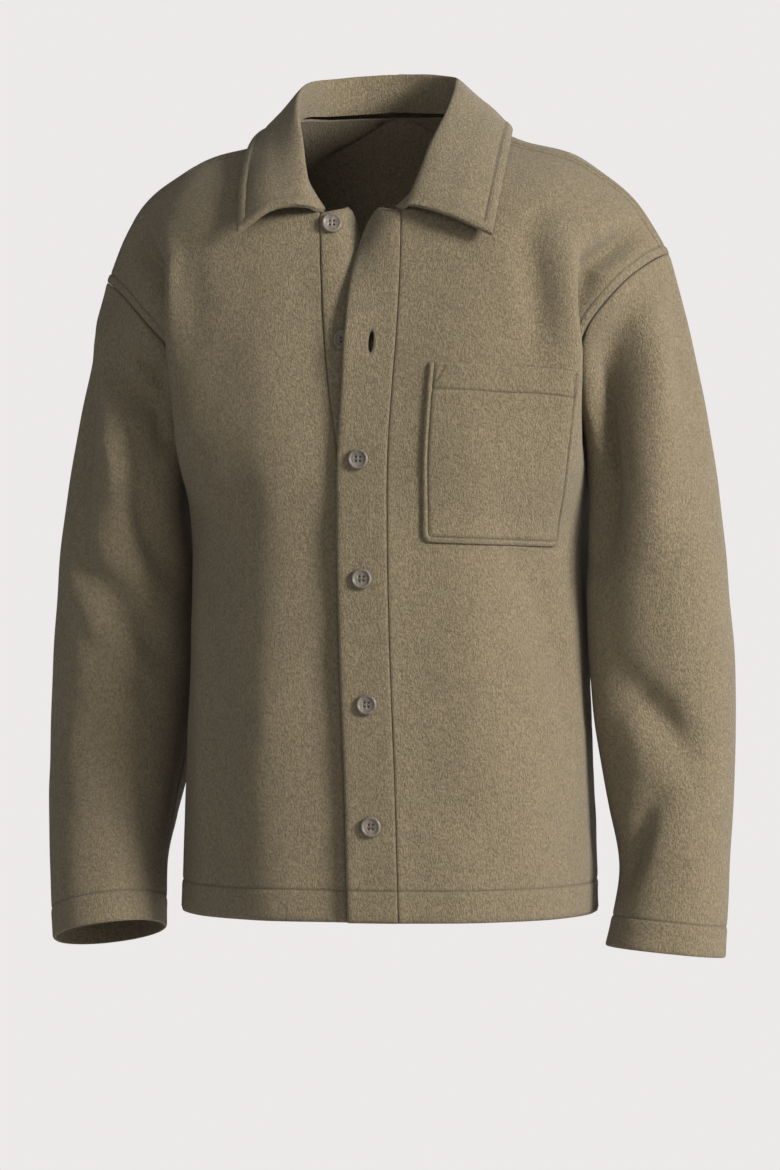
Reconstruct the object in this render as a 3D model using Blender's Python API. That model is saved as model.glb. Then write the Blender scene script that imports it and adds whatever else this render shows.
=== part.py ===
"""A boxy shacket in thick napped wool, built from the pieces that a maker cuts and sews.

The garment hangs as worn, with its front facing -Y, the wearer's left side at +X, and its origin
in the middle of the neck opening, level with the back neck seam. Every cloth piece is a wall: a
grid of points on its outer face, and the same grid moved in by the cloth's thickness.
"""

import math

import bmesh
import bpy
import numpy as np

# Driving sizes, in metres
CLOTH = 0.0025
SEAM_GAP = 0.0003
COLLAR_SEAM_GAP = 0.0016
HEM = 0.026
PLACKET_WIDTH = 0.042
PLACKET_PLY = 0.0042
PLACKET_RISE = 0.0008
COLLAR_PLY = 0.0038
COLLAR_LEAF_BULGE = {"left": 0.0045, "right": 0.0015}
COLLAR_STAND_LEAN = 0.0020
POCKET_PLY = 0.0024
POCKET_FROM_PLACKET = 0.029
POCKET_WIDTH = 0.125
POCKET_TOP_Z = -0.2233
POCKET_HEIGHT = 0.1465
SIDE_SEAM_Y = 0.004
BUTTON_WIDTH = 0.017
BUTTON_THICKNESS = 0.0032
BUTTONHOLE_LENGTH = 0.018
BUTTONHOLE_GAP = 0.0042

# Level sections of the body below the underarm, from the hem up
BODY_LEVELS = {
    "z": (-0.680, -0.565, -0.450, -0.355),
    "half_width": (0.1775, 0.1735, 0.1695, 0.1692),
    "front": (0.1450, 0.1405, 0.1330, 0.1280),
    "back": (0.1280, 0.1200, 0.1130, 0.1170),
    "side_drop": (0.0, 0.0, 0.0020, 0.0050),
}
LEVEL_SQUARENESS = 2.25
LEVEL_ANGLES = (32.0, 58.0, 76.0, 90.0)

# Where each front meets its button band, from the hem up: the two part above the third button
OPENING = {
    "z": (-0.680, -0.580, -0.500, -0.385, -0.300, -0.240, -0.172, -0.097),
    "left": (0.0270, 0.0240, 0.0200, 0.0160, 0.0155, 0.0190, 0.0235, 0.0240),
    "right": (0.0155, 0.0185, 0.0225, 0.0262, 0.0265, 0.0345, 0.0403, 0.0448),
}

# Rows of the upper front, from the underarm to the shoulder seam, as x, y, z on the left side
UPPER_FRONT = {
    "edge_y": (-0.1265, -0.1250, -0.1215, -0.1150),
    "edge_z": (-0.300, -0.250, -0.195, -0.145),
    "breast": (
        (0.100, -0.1195, -0.302), (0.100, -0.1190, -0.253), (0.100, -0.1170, -0.199),
        (0.100, -0.1120, -0.153), (0.098, -0.1010, -0.107), (0.108, -0.0730, -0.064),
        (0.115, -0.0260, -0.0355),
    ),
}
FRONT_SIDES = {
    "left": {
        "fold": (
            (0.1655, -0.0790, -0.305), (0.1685, -0.0880, -0.258), (0.1690, -0.0950, -0.207),
            (0.1645, -0.1005, -0.165), (0.1620, -0.0935, -0.124), (0.1665, -0.0650, -0.082),
            (0.1715, -0.0250, -0.0550),
        ),
        "upper_arm": (
            (0.1690, -0.0380, -0.309), (0.1660, -0.0560, -0.268), (0.1640, -0.0740, -0.217),
            (0.1690, -0.0850, -0.180), (0.1810, -0.0790, -0.142), (0.1980, -0.0560, -0.107),
            (0.2110, -0.0190, -0.0860),
        ),
        "armhole": (
            (0.1705, 0.0040, -0.312), (0.1655, -0.0300, -0.277), (0.1635, -0.0570, -0.230),
            (0.1735, -0.0745, -0.194), (0.1985, -0.0690, -0.161), (0.2195, -0.0450, -0.1400),
            (0.2365, -0.0130, -0.1275),
        ),
    },
    "right": {
        "fold": (
            (0.1655, -0.0790, -0.305), (0.1705, -0.0885, -0.260), (0.1740, -0.0945, -0.213),
            (0.1790, -0.0965, -0.177), (0.1800, -0.0900, -0.136), (0.1775, -0.0640, -0.090),
            (0.1745, -0.0250, -0.0565),
        ),
        "upper_arm": (
            (0.1690, -0.0380, -0.309), (0.1670, -0.0560, -0.273), (0.1690, -0.0740, -0.226),
            (0.1800, -0.0800, -0.194), (0.1960, -0.0740, -0.157), (0.2080, -0.0530, -0.120),
            (0.2160, -0.0190, -0.0910),
        ),
        "armhole": (
            (0.1705, 0.0040, -0.312), (0.1660, -0.0300, -0.284), (0.1665, -0.0550, -0.242),
            (0.1765, -0.0700, -0.209), (0.1995, -0.0690, -0.183), (0.2225, -0.0460, -0.160),
            (0.2425, -0.0130, -0.1460),
        ),
    },
}

# The neckline of each front, from the top of its button band to the shoulder seam
NECKLINE = {
    "left": ((0.0240, -0.1065, -0.0965), (0.0525, -0.0760, -0.0580), (0.0700, -0.0200, -0.0150)),
    "right": ((0.0448, -0.1045, -0.0975), (0.0690, -0.0740, -0.0570), (0.0800, -0.0200, -0.0150)),
}

# Rows of the upper back, from just behind the shoulder seam down to the underarm
UPPER_BACK = {
    "edge": (
        (0.0540, 0.0400, -0.0030), (0.0, 0.0620, 0.0), (0.0, 0.0940, -0.060), (0.0, 0.1100, -0.130),
        (0.0, 0.1185, -0.200), (0.0, 0.1200, -0.275),
    ),
    "breast": (
        (0.108, 0.0420, -0.0305), (0.100, 0.0780, -0.050), (0.100, 0.1030, -0.095), (0.100, 0.1120, -0.150),
        (0.100, 0.1150, -0.210), (0.100, 0.1140, -0.277),
    ),
    "fold": (
        (0.168, 0.0430, -0.0520), (0.160, 0.0760, -0.075), (0.158, 0.0920, -0.120), (0.158, 0.0940, -0.170),
        (0.160, 0.0880, -0.224), (0.160, 0.0760, -0.284),
    ),
    "upper_arm": (
        (0.208, 0.0400, -0.0920), (0.195, 0.0660, -0.115), (0.182, 0.0840, -0.150), (0.175, 0.0820, -0.192),
        (0.1730, 0.0640, -0.236), (0.1715, 0.0400, -0.296),
    ),
}
BACK_ARMHOLE = {
    "left": (
        (0.231, 0.0340, -0.1370), (0.214, 0.0600, -0.150), (0.192, 0.0790, -0.178), (0.179, 0.0740, -0.210),
        (0.1728, 0.0480, -0.252), (0.1705, 0.0040, -0.312),
    ),
    "right": (
        (0.236, 0.0340, -0.1540), (0.217, 0.0600, -0.166), (0.193, 0.0790, -0.190), (0.179, 0.0740, -0.218),
        (0.1728, 0.0480, -0.256), (0.1705, 0.0040, -0.312),
    ),
}
COLUMN_KEYS = (0.0, 0.42, 0.71, 0.87, 1.0)

# Rings of each sleeve below the armhole, as distances from the middle of the body; slant drops the
# back of a ring and roll drops its outer edge, both as slopes
SLEEVES = {
    "left": {
        "z": (-0.400, -0.470, -0.540, -0.600, -0.650, -0.690, -0.711),
        "inner": (0.1712, 0.1728, 0.1790, 0.1885, 0.1960, 0.1900, 0.1850),
        "outer": (0.2868, 0.2920, 0.2928, 0.2905, 0.2880, 0.2865, 0.2855),
        "y": (-0.002, 0.004, 0.005, 0.000, -0.007, -0.016, -0.021),
        "depth": (0.069, 0.064, 0.060, 0.056, 0.053, 0.051, 0.050),
        "slant": (0.0, 0.0, 0.02, 0.04, 0.05, 0.06, 0.06),
        "roll": (0.0, 0.0, 0.02, 0.05, 0.08, 0.09, 0.095),
    },
    "right": {
        "z": (-0.400, -0.470, -0.540, -0.600, -0.645, -0.680, -0.699),
        "inner": (0.1712, 0.1728, 0.1785, 0.1865, 0.1890, 0.1870, 0.1850),
        "outer": (0.2890, 0.2950, 0.2962, 0.2930, 0.2875, 0.2830, 0.2805),
        "y": (0.014, 0.020, 0.012, -0.006, -0.024, -0.038, -0.046),
        "depth": (0.070, 0.066, 0.061, 0.056, 0.053, 0.051, 0.050),
        "slant": (0.0, 0.0, 0.05, 0.12, 0.18, 0.23, 0.25),
        "roll": (0.0, 0.0, 0.04, 0.09, 0.13, 0.15, 0.16),
    },
}
SLEEVE_SQUARENESS = 2.15
# How much of each sleeve's aim at the armhole is straight down, and how far it shares the seam's normals
CAP_FALL = 0.45
CAP_SEAM_REACH = 0.020

# The collar on each side, from its front end to the nape: fold line and outer edge
COLLAR = {
    "left": {
        "fold": (
            (0.0300, -0.1150, -0.0925), (0.0430, -0.0900, -0.0480), (0.0580, -0.0250, 0.0140),
            (0.0440, 0.0330, 0.0300), (0.0, 0.0500, 0.0350),
        ),
        "edge": (
            (0.1010, -0.1200, -0.1180), (0.1060, -0.0930, -0.0760), (0.1085, -0.0400, -0.0310),
            (0.1050, 0.0020, -0.0170), (0.0880, 0.0560, -0.0140), (0.0, 0.0930, -0.0220),
        ),
    },
    "right": {
        "fold": (
            (0.0510, -0.1130, -0.0930), (0.0600, -0.0880, -0.0460), (0.0705, -0.0250, 0.0150),
            (0.0500, 0.0330, 0.0300), (0.0, 0.0500, 0.0350),
        ),
        "edge": (
            (0.1120, -0.1150, -0.1140), (0.1150, -0.0880, -0.0720), (0.1140, -0.0400, -0.0310),
            (0.1090, 0.0020, -0.0180), (0.0910, 0.0560, -0.0150), (0.0, 0.0930, -0.0220),
        ),
    },
}

# How far each band's free edge curls in towards the neck, in degrees, from the hem up
BAND_CURL = {
    "z": (-0.680, -0.300, -0.270, -0.240, -0.200, -0.155, -0.127, -0.107, -0.090),
    "left": (0.0, 0.0, 0.0, 0.0, 0.0, 10.0, 50.0, 90.0, 150.0),
    "right": (0.0, 0.0, 0.0, 1.0, 14.0, 44.0, 72.0, 100.0, 140.0),
}

# Buttons, from the neck down: the first two show on the open under band
BUTTONS = {
    "z": (-0.1085, -0.2041, -0.3022, -0.4000, -0.5026, -0.6017),
    "band": ("right", "right", "left", "left", "left", "left"),
    "from_seam": (0.0100, 0.0160, 0.0240, 0.0215, 0.0205, 0.0205),
}
BUTTONHOLE_Z = -0.2060
# The over band's free edge rides over the second button: how far, and over how much height
BAND_LIFT = {"left": 0.0052, "right": 0.0}
BAND_LIFT_REACH = 0.034
BAND_SEAM_REACH = 0.012
BUTTONHOLE_FROM_SEAM = 0.0200
BAND_TOP_RISE = {"left": 0.0060, "right": 0.0080}
COLLAR_ARCH = {"left": (0.0, -0.001, 0.001), "right": (0.0, -0.002, 0.008)}

# Soft folds of each front, as distance from the button band's seam and height, start to end
FRONT_FOLDS = {
    "left": (
        {"s": (0.106, 0.118), "z": (-0.100, -0.215), "width": 0.015, "depth": -0.0090},
        {"s": (0.149, 0.150), "z": (-0.105, -0.330), "width": 0.015, "depth": 0.0030},
        {"s": (0.173, 0.166), "z": (-0.092, -0.190), "width": 0.011, "depth": -0.0140},
        {"s": (0.105, 0.172), "z": (-0.360, -0.520), "width": 0.024, "depth": -0.0075},
        {"s": (0.070, 0.110), "z": (-0.430, -0.640), "width": 0.032, "depth": 0.0040},
    ),
    "right": (
        {"s": (0.112, 0.116), "z": (-0.105, -0.200), "width": 0.016, "depth": -0.0030},
        {"s": (0.150, 0.155), "z": (-0.110, -0.195), "width": 0.010, "depth": -0.0130},
        {"s": (0.150, 0.146), "z": (-0.380, -0.640), "width": 0.015, "depth": 0.0035},
        {"s": (0.118, 0.112), "z": (-0.420, -0.660), "width": 0.020, "depth": -0.0030},
    ),
}
BACK_FOLDS = (
    {"s": (-0.135, -0.120), "z": (-0.200, -0.560), "width": 0.024, "depth": -0.0050},
    {"s": (0.130, 0.118), "z": (-0.180, -0.600), "width": 0.022, "depth": -0.0045},
    {"s": (-0.070, -0.085), "z": (-0.330, -0.660), "width": 0.026, "depth": 0.0035},
    {"s": (0.060, 0.075), "z": (-0.380, -0.660), "width": 0.030, "depth": 0.0035},
)
# Folds of each sleeve, as the angle round it from its outer edge towards the front, and height
SLEEVE_FOLDS = {
    "left": (
        {"turn": (40.0, 140.0), "z": (-0.130, -0.385), "width": 0.014, "depth": -0.0190},
        {"turn": (16.0, 88.0), "z": (-0.120, -0.380), "width": 0.012, "depth": 0.0080},
        {"turn": (148.0, 150.0), "z": (-0.290, -0.590), "width": 0.016, "depth": 0.0075},
        {"turn": (112.0, 66.0), "z": (-0.485, -0.550), "width": 0.016, "depth": -0.0120},
        {"turn": (100.0, 150.0), "z": (-0.585, -0.655), "width": 0.012, "depth": -0.0090},
        {"turn": (230.0, 200.0), "z": (-0.430, -0.480), "width": 0.016, "depth": -0.0050},
        {"turn": (300.0, 285.0), "z": (-0.200, -0.400), "width": 0.018, "depth": -0.0050},
    ),
    "right": (
        {"turn": (8.0, 64.0), "z": (-0.215, -0.400), "width": 0.012, "depth": -0.0090},
        {"turn": (8.0, 36.0), "z": (-0.150, -0.245), "width": 0.010, "depth": 0.0080},
        {"turn": (36.0, 92.0), "z": (-0.240, -0.350), "width": 0.011, "depth": 0.0100},
        {"turn": (50.0, 104.0), "z": (-0.200, -0.252), "width": 0.009, "depth": -0.0110},
        {"turn": (42.0, 118.0), "z": (-0.222, -0.290), "width": 0.010, "depth": -0.0120},
        {"turn": (66.0, 132.0), "z": (-0.385, -0.465), "width": 0.014, "depth": -0.0105},
        {"turn": (88.0, 140.0), "z": (-0.325, -0.395), "width": 0.013, "depth": -0.0100},
        {"turn": (60.0, 110.0), "z": (-0.510, -0.560), "width": 0.020, "depth": -0.0035},
        {"turn": (214.0, 218.0), "z": (-0.330, -0.600), "width": 0.024, "depth": 0.0140},
        {"turn": (285.0, 255.0), "z": (-0.430, -0.470), "width": 0.016, "depth": -0.0050},
        {"turn": (300.0, 285.0), "z": (-0.200, -0.400), "width": 0.018, "depth": -0.0050},
    ),
}

FINISHES = {
    "wool": ((0.165, 0.135, 0.095), 0.95, 0.0),
    "button": ((0.110, 0.098, 0.082), 0.35, 0.0),
}
# Steps of the dense surface over one half of the body, and the column on which heights are read
DENSE_COLUMNS = 73
DENSE_STEPS = (80, 40, 30, 30, 50, 80)
MARK_COLUMN = 8
# Steps of the panels: up each front from the hem, down the back from the shoulder, and across
FRONT_STEPS = {"left": (1, 7, 2, 3, 4, 5), "right": (1, 10, 7, 5)}
BACK_STEPS = (4, 7, 9, 1)
ACROSS_STEPS = {"left": (2, 6, 5), "right": (13,)}
BACK_NECK_STEPS = BACK_STEPS[0]
ARMHOLE_BACK_STEPS = sum(BACK_STEPS[:2])
ARMHOLE_FRONT_START = {"left": sum(FRONT_STEPS["left"][:3]), "right": sum(FRONT_STEPS["right"][:2])}
POCKET_ROWS = slice(sum(FRONT_STEPS["left"][:2]), sum(FRONT_STEPS["left"][:4]) + 1)
POCKET_COLUMNS = slice(ACROSS_STEPS["left"][0], sum(ACROSS_STEPS["left"][:2]) + 1)
SLEEVE_STEPS = 20
CAP_DENSE_STEPS = 48
SLEEVE_DENSE_ROWS = 81
SLEEVE_GIRTH = 0.34
COLLAR_HALF_COLUMNS = 13
COLLAR_ACROSS = (0.0, 0.2, 0.36, 0.46, 0.62, 0.81, 1.0)
BUTTON_SIDES = 16
BUTTON_HOLE = {"offset": 0.00165, "radius": 0.0008, "sides": 6}


def through(knots, values, at):
    """A smooth curve through the values at the knots, read at the places given."""
    knots = np.asarray(knots, float)
    values = np.asarray(values, float)
    at = np.clip(np.asarray(at, float), knots[0], knots[-1])
    slopes = np.gradient(values, knots, axis=0)
    start = np.clip(np.searchsorted(knots, at, side="right") - 1, 0, len(knots) - 2)
    span = knots[start + 1] - knots[start]
    t = (at - knots[start]) / span
    shape = t.shape + (1,) * (values.ndim - 1)
    t, span = t.reshape(shape), span.reshape(shape)
    return (
        (1 + 2 * t) * (1 - t) ** 2 * values[start]
        + t * (1 - t) ** 2 * span * slopes[start]
        + t * t * (3 - 2 * t) * values[start + 1]
        + t * t * (t - 1) * span * slopes[start + 1]
    )


def eased(low, high, value):
    """0 up to low, 1 from high, with a smooth step between."""
    t = np.clip((value - low) / (high - low), 0.0, 1.0)
    return t * t * (3 - 2 * t)


def length_along(points):
    steps = np.linalg.norm(np.diff(points, axis=0), axis=1)
    return np.concatenate(([0.0], np.cumsum(steps)))


def mirrored(points):
    return points * np.array([-1.0, 1.0, 1.0])


def unit(vectors):
    return vectors / np.maximum(np.linalg.norm(vectors, axis=-1, keepdims=True), 1e-12)


def normals_of(grid, closed=False):
    """Unit normals of a grid of points; closed joins the last column to the first."""
    if closed:
        across = np.roll(grid, -1, axis=1) - np.roll(grid, 1, axis=1)
    else:
        across = np.gradient(grid, axis=1)
    return unit(np.cross(across, np.gradient(grid, axis=0)))


def even_steps(ends, counts):
    """Places from the first end to the last, with a set count of even steps between each two."""
    parts = [np.linspace(a, b, n, endpoint=False) for a, b, n in zip(ends, ends[1:], counts)]
    return np.concatenate(parts + [[ends[-1]]])


def spread(length, marks, counts):
    """Stations from 0 to length, in equal steps between marks; a mark below 0 counts from the end."""
    return even_steps([0.0] + [m if m >= 0 else length + m for m in marks] + [length], counts)


def level_row(level, edge_x, rear):
    """The key points of a level section, from the edge at the middle round to the side seam."""
    half_width = BODY_LEVELS["half_width"][level]
    depth = BODY_LEVELS["back" if rear else "front"][level]
    z = BODY_LEVELS["z"][level]
    facing = 1.0 if rear else -1.0
    power = 2.0 / LEVEL_SQUARENESS
    edge_y = depth * (1 - (edge_x / half_width) ** LEVEL_SQUARENESS) ** (1 / LEVEL_SQUARENESS)
    row = [(edge_x, facing * edge_y, z)]
    drop = BODY_LEVELS["side_drop"][level]
    for angle in np.radians(LEVEL_ANGLES):
        x = half_width * math.sin(angle) ** power
        y = (depth + facing * -SIDE_SEAM_Y) * max(math.cos(angle), 0.0) ** power
        row.append((x, facing * y + SIDE_SEAM_Y, z - drop * x / half_width))
    return row


def body_net(side):
    """Key points of half the body: rows from the front hem over the shoulder to the back hem."""
    levels = range(len(BODY_LEVELS["z"]))
    edges = through(OPENING["z"], OPENING[side], BODY_LEVELS["z"])
    net = [level_row(k, float(edges[k]), rear=False) for k in levels]
    front = FRONT_SIDES[side]
    below_neck = through(OPENING["z"], OPENING[side], UPPER_FRONT["edge_z"])
    for k, breast in enumerate(UPPER_FRONT["breast"]):
        if k < len(below_neck):
            edge = (float(below_neck[k]), UPPER_FRONT["edge_y"][k], UPPER_FRONT["edge_z"][k])
        else:
            edge = NECKLINE[side][k - len(below_neck)]
        net.append([edge, breast, front["fold"][k], front["upper_arm"][k], front["armhole"][k]])
    for k, armhole in enumerate(BACK_ARMHOLE[side]):
        net.append([UPPER_BACK[name][k] for name in ("edge", "breast", "fold", "upper_arm")] + [armhole])
    net += [level_row(k, 0.0, rear=True) for k in reversed(levels)]
    return np.array(net)


UNDERARM_ROW = len(BODY_LEVELS["z"])
BAND_TOP_ROW = UNDERARM_ROW + len(UPPER_FRONT["edge_z"])
SHOULDER_ROW = UNDERARM_ROW + len(UPPER_FRONT["breast"]) - 1
NAPE_ROW = SHOULDER_ROW + 2
BACK_UNDERARM_ROW = SHOULDER_ROW + len(UPPER_BACK["edge"])


def row_knots(net):
    """Knots for the rows of a net, by the mean distance from each row to the next."""
    steps = np.linalg.norm(np.diff(net, axis=0), axis=2).mean(axis=1)
    return np.concatenate(([0.0], np.cumsum(steps)))


def dense_rows(side):
    """Half the body's surface as a dense grid from the front hem over to the back hem.

    Also the grid rows where the net's stops fall: underarm, band top, shoulder, nape, underarm, hem.
    """
    net = body_net(side)
    knots = row_knots(net)
    stops = (0, UNDERARM_ROW, BAND_TOP_ROW, SHOULDER_ROW, NAPE_ROW, BACK_UNDERARM_ROW, len(net) - 1)
    places = even_steps([knots[k] for k in stops], DENSE_STEPS)
    rows = through(knots, net, places)
    for a, b in ((0, BAND_TOP_ROW), (BAND_TOP_ROW, NAPE_ROW), (NAPE_ROW, len(net) - 1)):
        within = (places >= knots[a] - 1e-9) & (places <= knots[b] + 1e-9)
        line, line_knots = net[a:b + 1, 0], knots[a:b + 1]
        if b == NAPE_ROW:
            line, line_knots = past_middle(line, line_knots)
        rows[within, 0] = through(line_knots, line, places[within])
    stops = np.cumsum((0,) + DENSE_STEPS)
    before = 2 * rows[:, :1] - rows[:, 1:2]
    before[stops[4]:] = mirrored(rows[stops[4]:, 1:2])
    keys = (-COLUMN_KEYS[1],) + COLUMN_KEYS
    rows = np.concatenate((before, rows), axis=1)
    columns = through(keys, rows.transpose(1, 0, 2), np.linspace(0.0, 1.0, DENSE_COLUMNS))
    return true_side_seam(columns.transpose(1, 0, 2)), stops


def past_middle(line, knots):
    """A line that ends on the garment's middle, and its knots, with one mirrored point beyond."""
    line = np.concatenate((line, mirrored(line[-2:-1])))
    return line, np.concatenate((knots, [2 * knots[-1] - knots[-2]]))


def true_side_seam(grid):
    """Brings the last column, below the underarm, onto the one side seam that both panels share."""
    z = grid[:, -1, 2]
    underarm_x, _, underarm_z = FRONT_SIDES["left"]["armhole"][0]
    heights = BODY_LEVELS["z"] + (underarm_z,)
    seam_x = through(heights, BODY_LEVELS["half_width"] + (underarm_x,), z)
    below = z < underarm_z - 1e-9
    weight = np.linspace(0, 1, grid.shape[1]) ** 4
    grid = grid.copy()
    grid[..., 0] += np.where(below, seam_x - grid[:, -1, 0], 0.0)[:, None] * weight
    grid[..., 1] += np.where(below, SIDE_SEAM_Y - grid[:, -1, 1], 0.0)[:, None] * weight
    return grid


def fold_field(s, z, folds):
    """How far the folds move each point out: a soft ridge or trough round each fold's line."""
    moved = np.zeros_like(s)
    for fold in folds:
        start = np.array([fold["s"][0], fold["z"][0]])
        run = np.array([fold["s"][1], fold["z"][1]]) - start
        t = ((s - start[0]) * run[0] + (z - start[1]) * run[1]) / (run @ run)
        near = np.clip(t, 0.0, 1.0)
        off = np.hypot(s - start[0] - near * run[0], z - start[1] - near * run[1])
        fade = np.sin(math.pi * (0.12 + 0.76 * near))
        moved += fold["depth"] * fade * np.exp(-((off / fold["width"]) ** 2))
    return moved


def half_body(side):
    """The outer face of half the body with its folds, in left-side form, and its normals."""
    grid, stops = dense_rows(side)
    top = stops[3]
    s = np.stack([length_along(row) for row in grid])
    z = grid[..., 2]
    sign = 1 if side == "left" else -1
    inset = np.minimum(s, s[:, -1:] - s)
    field = np.zeros_like(s)
    field[:top] = fold_field(s, z, FRONT_FOLDS[side])[:top]
    field[top:] = fold_field(s * sign, z, BACK_FOLDS)[top:]
    from_shoulder = np.abs(np.arange(len(grid)) - top)[:, None] / 20.0
    field *= eased(0.0, 0.02, inset) * eased(0.0, 1.0, from_shoulder)
    grid = grid + outward(normals_of(grid), grid) * field[..., None]
    if side == "right":
        sunk = PLACKET_PLY + 4 * SEAM_GAP
        below_neck = (1 - eased(-0.110, -0.055, z)) * (np.arange(len(grid)) < top)[:, None]
        grid[..., 1] += sunk * (1 - eased(0.0, 0.075, s)) * below_neck
    normals = outward(normals_of(grid), grid)
    underarm_z = FRONT_SIDES["left"]["armhole"][0][2]
    on_side = z[:, -1] < underarm_z + 0.004
    normals[on_side, -1, 1] = 0.0
    return grid, unit(normals), stops


def outward(normals, grid):
    """The same normals, turned as one to point away from the middle of the body."""
    away = grid * np.array([1.0, 1.0, 0.0])
    return normals if (normals * away).sum() > 0 else -normals


def respaced_part(points, stations, first, last):
    """The polyline read at the distances of stations(length), clear of a seam where it has one."""
    along = length_along(points[:, :3])
    low = SEAM_GAP / 2 if first else 0.0
    high = SEAM_GAP / 2 if last else 0.0
    places = low + stations(along[-1] - low - high)
    return np.stack([np.interp(places, along, points[:, k]) for k in range(points.shape[1])], axis=1)


def side_columns(side):
    """Stations across a front, or the same half of the back, from the middle to the side."""
    marks = () if side == "right" else (POCKET_FROM_PLACKET, POCKET_FROM_PLACKET + POCKET_WIDTH)
    return lambda length: spread(length, marks, ACROSS_STEPS[side])


def row_of(grid, z, low, high):
    """The place, counted in rows, where the marked column of the grid crosses a height."""
    heights = grid[low:high, MARK_COLUMN, 2]
    order = np.argsort(heights)
    return float(np.interp(z, heights[order], np.arange(low, high)[order]))


def read_panel(grid, normals, marks, counts, columns, seam_rows):
    """A panel's own grid: its rows at even steps between marks and its columns at set distances."""
    places = even_steps(marks, counts)
    both = np.concatenate((grid, normals), axis=2)
    lower = np.floor(places).astype(int)
    upper = np.minimum(lower + 1, len(grid) - 1)
    part = (places - lower)[:, None, None]
    rows = both[lower] * (1 - part) + both[upper] * part
    aims = unit(rows[:, -1, :3] - rows[:, -3, :3])
    panel = np.stack([respaced_part(row, columns, True, True) for row in rows])
    for row, inner, sewn in ((0, 1, seam_rows[0]), (-1, -2, seam_rows[1])):
        if sewn:
            panel[row, :, :3] += unit(panel[inner, :, :3] - panel[row, :, :3]) * SEAM_GAP / 2
    return panel[..., :3], unit(panel[..., 3:]), aims


def front_marks(grid, stops, side):
    """Rows of a front that fall at set places: hem line, pocket, underarm, band top, shoulder."""
    hem = row_of(grid, BODY_LEVELS["z"][0] + HEM, 0, stops[1])
    if side == "right":
        return 0.0, hem, stops[1], stops[2], stops[3]
    low = row_of(grid, POCKET_TOP_Z - POCKET_HEIGHT, 0, stops[1])
    high = row_of(grid, POCKET_TOP_Z, 0, stops[2])
    return 0.0, hem, low, stops[1], high, stops[2], stops[3]


def back_marks(grid, stops):
    hem = row_of(grid, BODY_LEVELS["z"][0] + HEM, stops[5], len(grid))
    return stops[3], stops[4], stops[5], hem, stops[6]


def front_grid(side):
    grid, normals, stops = half_body(side)
    marks = front_marks(grid, stops, side)
    return read_panel(grid, normals, marks, FRONT_STEPS[side], side_columns(side), (False, True))


def back_half(side):
    grid, normals, stops = half_body(side)
    marks = back_marks(grid, stops)
    return read_panel(grid, normals, marks, BACK_STEPS, side_columns(side), (True, False))


def armhole_of(side, front, back):
    """The panels' own armhole points, up the front and down the back, and the cloth's aim there."""
    low = ARMHOLE_FRONT_START[side]
    high = ARMHOLE_BACK_STEPS
    points = np.concatenate((front[0][low:, -1], back[0][1:high, -1]))
    aims = np.concatenate((front[2][low:], back[2][1:high]))
    normals = np.concatenate((front[1][low:, -1], back[1][1:high, -1]))
    points = points + aims * SEAM_GAP / 2
    turns = []
    for part, span in ((front[0][low:, -1], (180.0, 0.0)), (back[0][:high + 1, -1], (0.0, -180.0))):
        along = length_along(part)
        turns.append(np.interp(along, (0.0, along[-1]), span))
    return points, aims, normals, np.radians(np.concatenate((turns[0], turns[1][1:-1])))


def back_grid():
    """The back's outer grid from the shoulder down, with its middle column doubled at the neck."""
    halves = []
    nape = BACK_NECK_STEPS
    for side in ("right", "left"):
        panel, panel_normals, _ = back_half(side)
        if side == "right":
            panel, panel_normals = mirrored(panel)[:, ::-1], mirrored(panel_normals)[:, ::-1]
        halves.append((panel, panel_normals))
    (right, right_normals), (left, left_normals) = halves
    middle = (right[nape:, -1] + left[nape:, 0]) / 2
    middle_normals = unit(right_normals[nape:, -1] + left_normals[nape:, 0])
    for half, normals, k in ((right, right_normals, -1), (left, left_normals, 0)):
        half[nape:, k] = middle
        normals[nape:, k] = middle_normals
    return (
        np.concatenate((right, left), axis=1), np.concatenate((right_normals, left_normals), axis=1),
        right.shape[1] - 1, nape,
    )


def solid_object(name, mesh, finish):
    """Links the mesh as an object with its faces pointing out and its own material."""
    work = bmesh.new()
    work.from_mesh(mesh)
    bmesh.ops.recalc_face_normals(work, faces=work.faces)
    if work.calc_volume(signed=True) < 0:
        bmesh.ops.reverse_faces(work, faces=work.faces)
    work.to_mesh(mesh)
    work.free()
    mesh.shade_smooth()
    mesh.set_sharp_from_angle(angle=math.radians(40))
    piece = bpy.data.objects.new(name, mesh)
    bpy.context.scene.collection.objects.link(piece)
    mesh.materials.append(material(name, finish))
    return piece


def material(name, finish):
    colour, roughness, metallic = FINISHES[finish]
    made = bpy.data.materials.new(name + "_" + finish)
    made.use_nodes = True
    shader = made.node_tree.nodes["Principled BSDF"]
    shader.inputs["Base Color"].default_value = (*colour, 1.0)
    shader.inputs["Roughness"].default_value = roughness
    shader.inputs["Metallic"].default_value = metallic
    return made


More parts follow.
